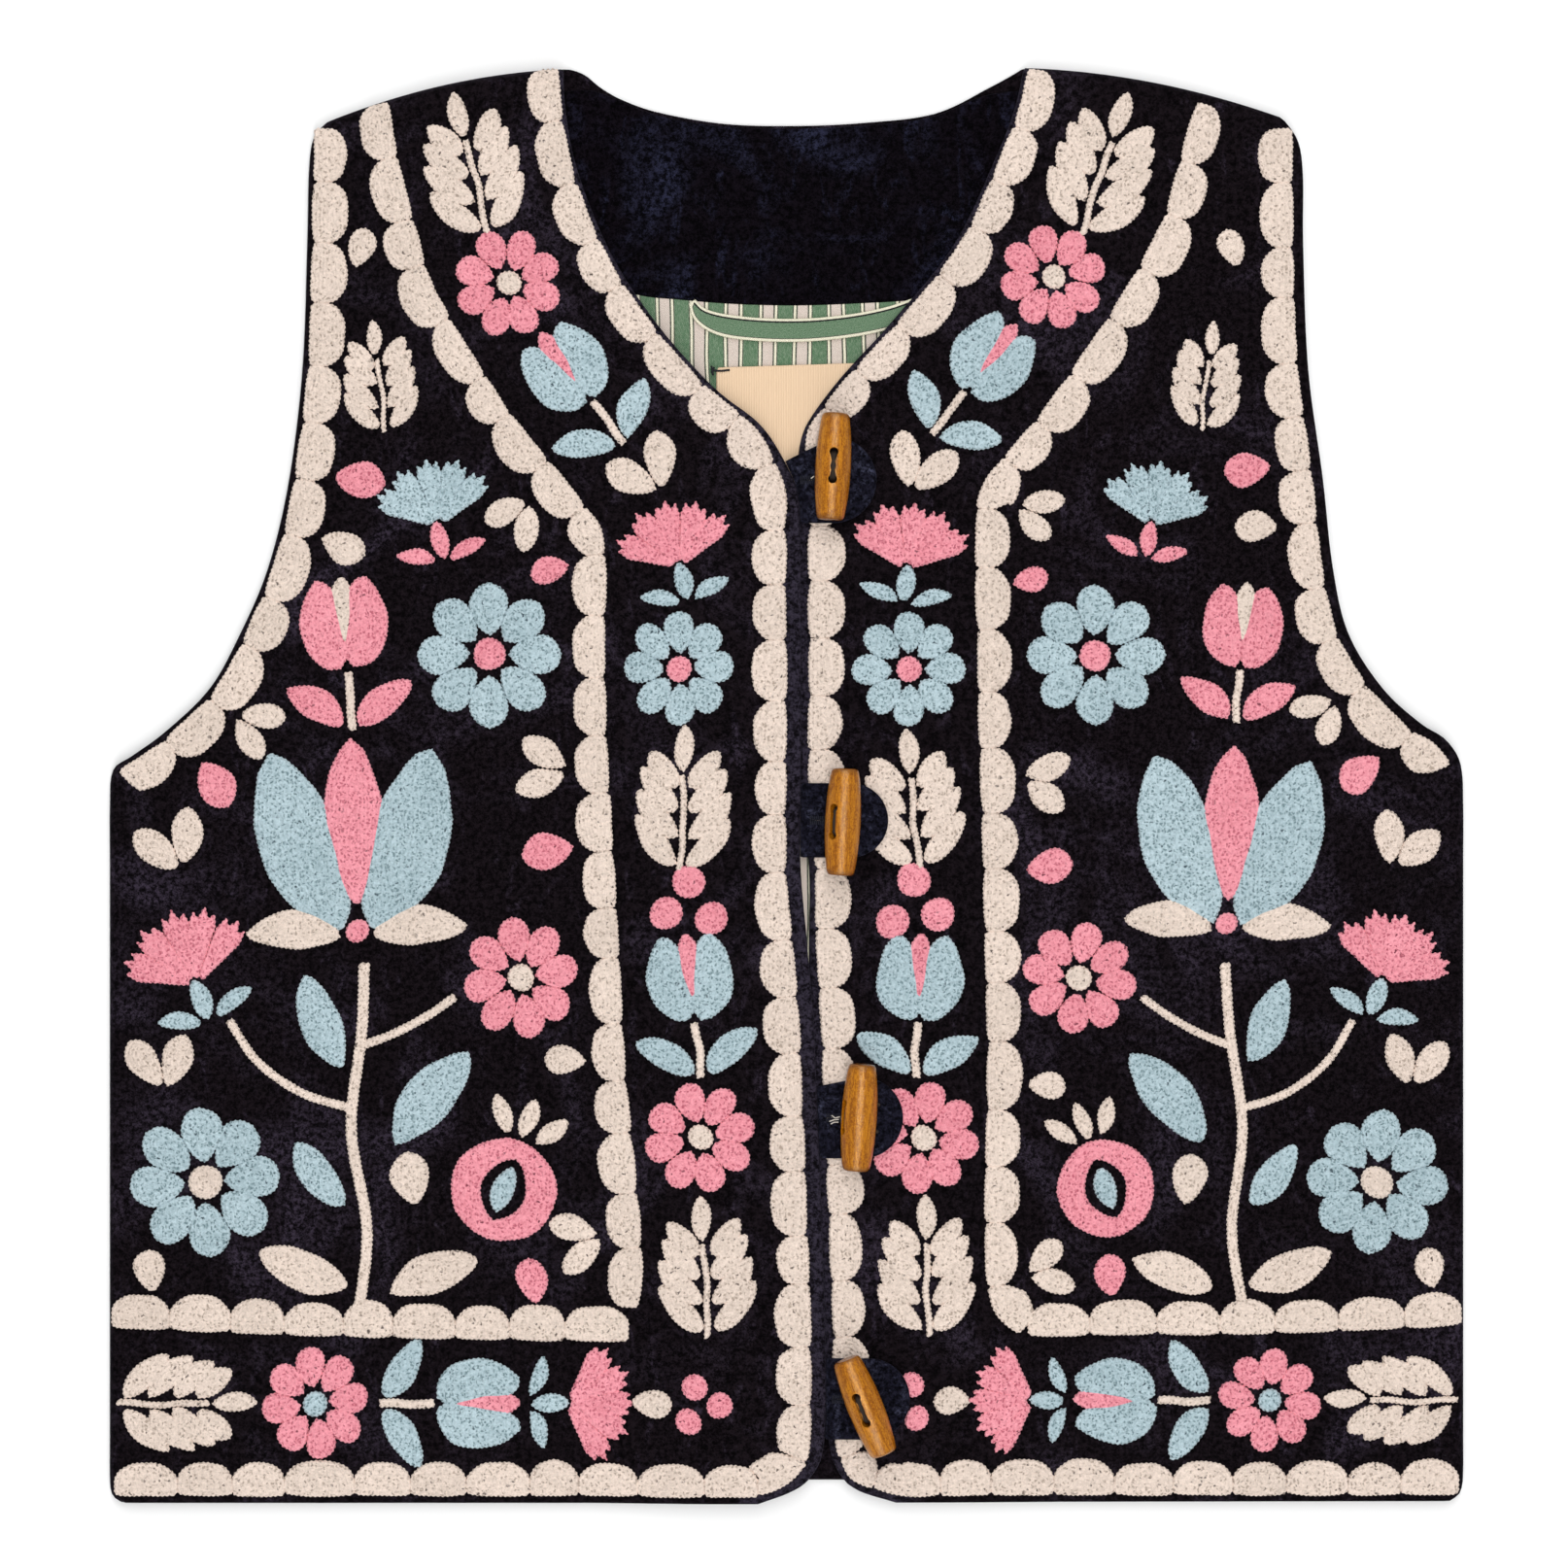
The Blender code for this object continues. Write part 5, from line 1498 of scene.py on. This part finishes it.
def make_tab(jacket, fastening, index):
    """A velvet tab with a slit buttonhole, and the slit's stitches."""
    radius = (fastening.tab_high - fastening.tab_low) / 2
    middle = (fastening.tab_high + fastening.tab_low) / 2
    round_x = fastening.tab_end - radius
    angles = [math.radians(angle) for angle in np.linspace(-90.0, 90.0, 25)]
    end = [(round_x + radius * math.cos(a), middle + radius * math.sin(a)) for a in angles]
    root_y = np.linspace(fastening.tab_root_high, fastening.tab_low, 8)
    root = [(edge_x(jacket, y) + TAB_ROOT_GAP, y) for y in root_y]
    outline = even_loop(np.array(end + root), 1.5)
    slit_x = fastening.toggle_x - SLIT_LENGTH / 4
    half = SLIT_LENGTH / 2
    slit = np.array([(-half, 0.0), (-half + 0.6, -0.5), (half - 0.6, -0.5), (half, 0.0),
                     (half - 0.6, 0.5), (-half + 0.6, 0.5)])
    slit = even_loop(slit * np.array([1.0, SLIT_WIDTH]) + np.array([slit_x, middle]), 0.8)
    loops = [outline, slit]
    at_root = FRONT_TOP + RIGHT_LIFT - TAB_THICK

    def faces(points):
        roots = np.interp(points[:, 1], root_y[::-1], [x for x, _ in root][::-1])
        low = at_root + (TAB_Z - at_root) * smoothstep((points[:, 0] - roots) / TAB_RAMP)
        near = outline_distance(points, loops)
        half_thick = TAB_THICK / 2 * quarter_round(near, 0.75)
        ridge = 0.25 * np.exp(-(((near - 2.2) / 0.9) ** 2)) * (outline_distance(points, [outline]) < 5)
        return low + TAB_THICK / 2 + half_thick + ridge, low + TAB_THICK / 2 - half_thick

    name = f"velvet_tab_{index}"
    tab = cloth(name, loops, faces, velvet(name, TAB_VELVET, TAB_SHEEN_PATCH), 1.6, (0.12, 0.4, 0.8, 1.6))
    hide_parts(f"tab_{index}")
    declare_cloth(tab)
    stitches = []
    top = TAB_Z + TAB_THICK
    for x in np.arange(slit_x - half + 0.5, slit_x + half, 0.75):
        for side in (1, -1):
            start = middle - side * 0.1
            stitches.append([(x, start, top - 0.25), (x, start + side * 0.5, top + 0.1),
                             (x, start + side * 1.7, top)])
    navy = twisted_thread(f"buttonhole_thread_{index}", BUTTONHOLE_THREAD)
    tubes(f"buttonhole_stitches_{index}", stitches, BUTTONHOLE_THREAD.radius, navy)


def toggle_matrix(fastening):
    """Barrel along +Y, its groove up, rolled about itself and then tilted on the cloth."""
    upright = Matrix(((0, 1, 0, 0), (0, 0, 1, 0), (1, 0, 0, 0), (0, 0, 0, 1)))
    rolled = upright @ Matrix.Rotation(math.radians(-fastening.roll), 4, "Z")
    tilted = Matrix.Rotation(math.radians(-fastening.tilt), 4, "Z") @ rolled
    height = TAB_Z + TAB_THICK + GAP + TOGGLE_RADIUS
    place = Matrix.Translation((fastening.toggle_x * MM, fastening.toggle_y * MM, height * MM))
    return place @ tilted


def finished(made, name):
    """The mesh of a shape that is worked out."""
    mesh = bpy.data.meshes.new(name)
    made.to_mesh(mesh)
    made.free()
    return mesh


def turned_mesh(name, length):
    """A barrel turned from its profile, closed at both ends."""
    upper = [(point.radius * TOGGLE_RADIUS, point.along * length / 2) for point in TOGGLE_PROFILE]
    profile = np.array(upper + [(radius, -height) for radius, height in reversed(upper[:-1])])
    profile = np.vstack([profile[:1], catmull_rom(profile[1:-1], 1.2, plan_length), profile[-1:]])
    made = bmesh.new()
    rings = []
    for radius, height in profile[1:-1]:
        ring = []
        for step in range(TOGGLE_STEPS):
            angle = 2 * math.pi * step / TOGGLE_STEPS
            around = Vector((radius * math.cos(angle), radius * math.sin(angle), height))
            ring.append(made.verts.new(around * MM))
        rings.append(ring)
    ends = [made.verts.new((0.0, 0.0, height * MM)) for height in (profile[0, 1], profile[-1, 1])]
    for step in range(TOGGLE_STEPS):
        after = (step + 1) % TOGGLE_STEPS
        made.faces.new((ends[0], rings[0][step], rings[0][after]))
        made.faces.new((ends[1], rings[-1][after], rings[-1][step]))
        for one, two in zip(rings, rings[1:]):
            made.faces.new((one[step], two[step], two[after], one[after]))
    bmesh.ops.recalc_face_normals(made, faces=made.faces)
    mesh = finished(made, name)
    mesh.shade_smooth()
    return mesh


def slot_mesh(name):
    """Cutter for both holes and for the groove between them, with round ends."""
    made = bmesh.new()
    radius = HOLE_RADIUS * MM
    across = Matrix.Rotation(math.radians(90), 4, "Y")
    for offset in (-HOLE_SPREAD, HOLE_SPREAD):
        place = Matrix.Translation((0.0, 0.0, offset * MM)) @ across
        bmesh.ops.create_cone(made, cap_ends=True, segments=HOLE_SIDES, radius1=radius, radius2=radius,
                              depth=4 * TOGGLE_RADIUS * MM, matrix=place)
    return finished(made, name)


def groove_mesh(name):
    made = bmesh.new()
    bmesh.ops.create_cube(made, size=1.0)
    size = (2 * GROOVE_DEPTH * MM, GROOVE_WIDTH * MM, 2 * HOLE_SPREAD * MM)
    bmesh.ops.scale(made, vec=size, verts=made.verts)
    bmesh.ops.translate(made, vec=(TOGGLE_RADIUS * MM, 0.0, 0.0), verts=made.verts)
    return finished(made, name)


def cut_away(obj, mesh):
    """Cuts a shape out of an object, and applies the cut."""
    cutter = bpy.data.objects.new("cutter", mesh)
    bpy.context.scene.collection.objects.link(cutter)
    modifier = obj.modifiers.new("Cut", "BOOLEAN")
    modifier.object = cutter
    modifier.operation = "DIFFERENCE"
    modifier.solver = "EXACT"
    graph = bpy.context.evaluated_depsgraph_get()
    result = bpy.data.meshes.new_from_object(obj.evaluated_get(graph))
    obj.modifiers.clear()
    obj.data = result
    bpy.data.objects.remove(cutter)


def make_toggle(fastening, index):
    name = f"lacquered_toggle_{index}"
    mesh = turned_mesh(name, fastening.toggle_length)
    mesh.materials.append(lacquered_wood(name))
    toggle = bpy.data.objects.new(name, mesh)
    bpy.context.scene.collection.objects.link(toggle)
    cut_away(toggle, slot_mesh("holes"))
    cut_away(toggle, groove_mesh("groove"))
    toggle.data.set_sharp_from_angle(angle=math.radians(35))
    toggle.matrix_world = toggle_matrix(fastening)
    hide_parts(f"toggle_{index}")
    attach(toggle, BODY)
    lines = []
    base = TOGGLE_RADIUS - GROOVE_DEPTH + 0.45
    for offset, lift in ((-0.55, 0.0), (0.10, 0.45), (0.62, 0.05)):
        local = [(-TOGGLE_RADIUS - 1.2, offset, -HOLE_SPREAD), (base - 1.5, offset, -HOLE_SPREAD),
                 (base + lift, offset, -HOLE_SPREAD + 1.2), (base + lift + 0.2, -offset * 0.8, 0.0),
                 (base + lift, offset, HOLE_SPREAD - 1.2), (base - 1.5, offset, HOLE_SPREAD),
                 (-TOGGLE_RADIUS - 1.2, offset, HOLE_SPREAD)]
        lines.append([toggle.matrix_world @ (Vector(point) * MM) / MM for point in local])
    thread = twisted_thread(f"toggle_thread_{index}", TOGGLE_THREAD)
    tubes(f"toggle_thread_{index}", lines, TOGGLE_THREAD.radius, thread)


def make_bar_tack():
    """The black stitches that hold the tape's corner."""
    z = ON_LINING_Z + INSIDE_THICK + 0.15
    lines = [
        [(-28.6, 159.2, z), (-25.2, 159.0, z + 0.1), (-21.8, 159.4, z)],
        [(-28.9, 160.9, z), (-28.5, 159.0, z + 0.25), (-28.2, 157.4, z)],
        [(-27.9, 160.4, z), (-28.1, 159.4, z + 0.3), (-28.9, 158.3, z)],
    ]
    tubes("bar_tack", lines, TACK_THREAD.radius, twisted_thread("bar_tack", TACK_THREAD))


def make_thread_ends():
    """Pale ends of sewing thread beside two of the toggles."""
    top = TAB_Z + TAB_THICK
    ends = [
        [(9.2, 117.2, top), (9.9, 117.7, top + 0.5), (10.5, 118.2, top + 0.1)],
        [(16.4, -128.6, top), (18.0, -128.0, top + 0.5), (20.0, -127.8, top + 0.2)],
        [(16.9, -129.6, top), (18.2, -128.9, top + 0.4), (19.8, -128.9, top + 0.1)],
        [(17.2, -126.3, top), (18.6, -127.3, top + 0.5), (20.4, -126.8, top + 0.1)],
    ]
    tubes("thread_ends", ends, PALE_THREAD.radius, twisted_thread("thread_ends", PALE_THREAD))


def main():
    make_studio()
    jacket = Jacket()
    make_panels(jacket)
    make_inside(jacket)
    make_bar_tack()
    yarns = {colour: chain_stitch(f"stitches_{colour}", yarn) for colour, yarn in YARNS.items()}
    make_embroidery(jacket, yarns)
    for index, fastening in enumerate(FASTENINGS, start=1):
        make_tab(jacket, fastening, index)
        make_toggle(fastening, index)
    make_thread_ends()


main()
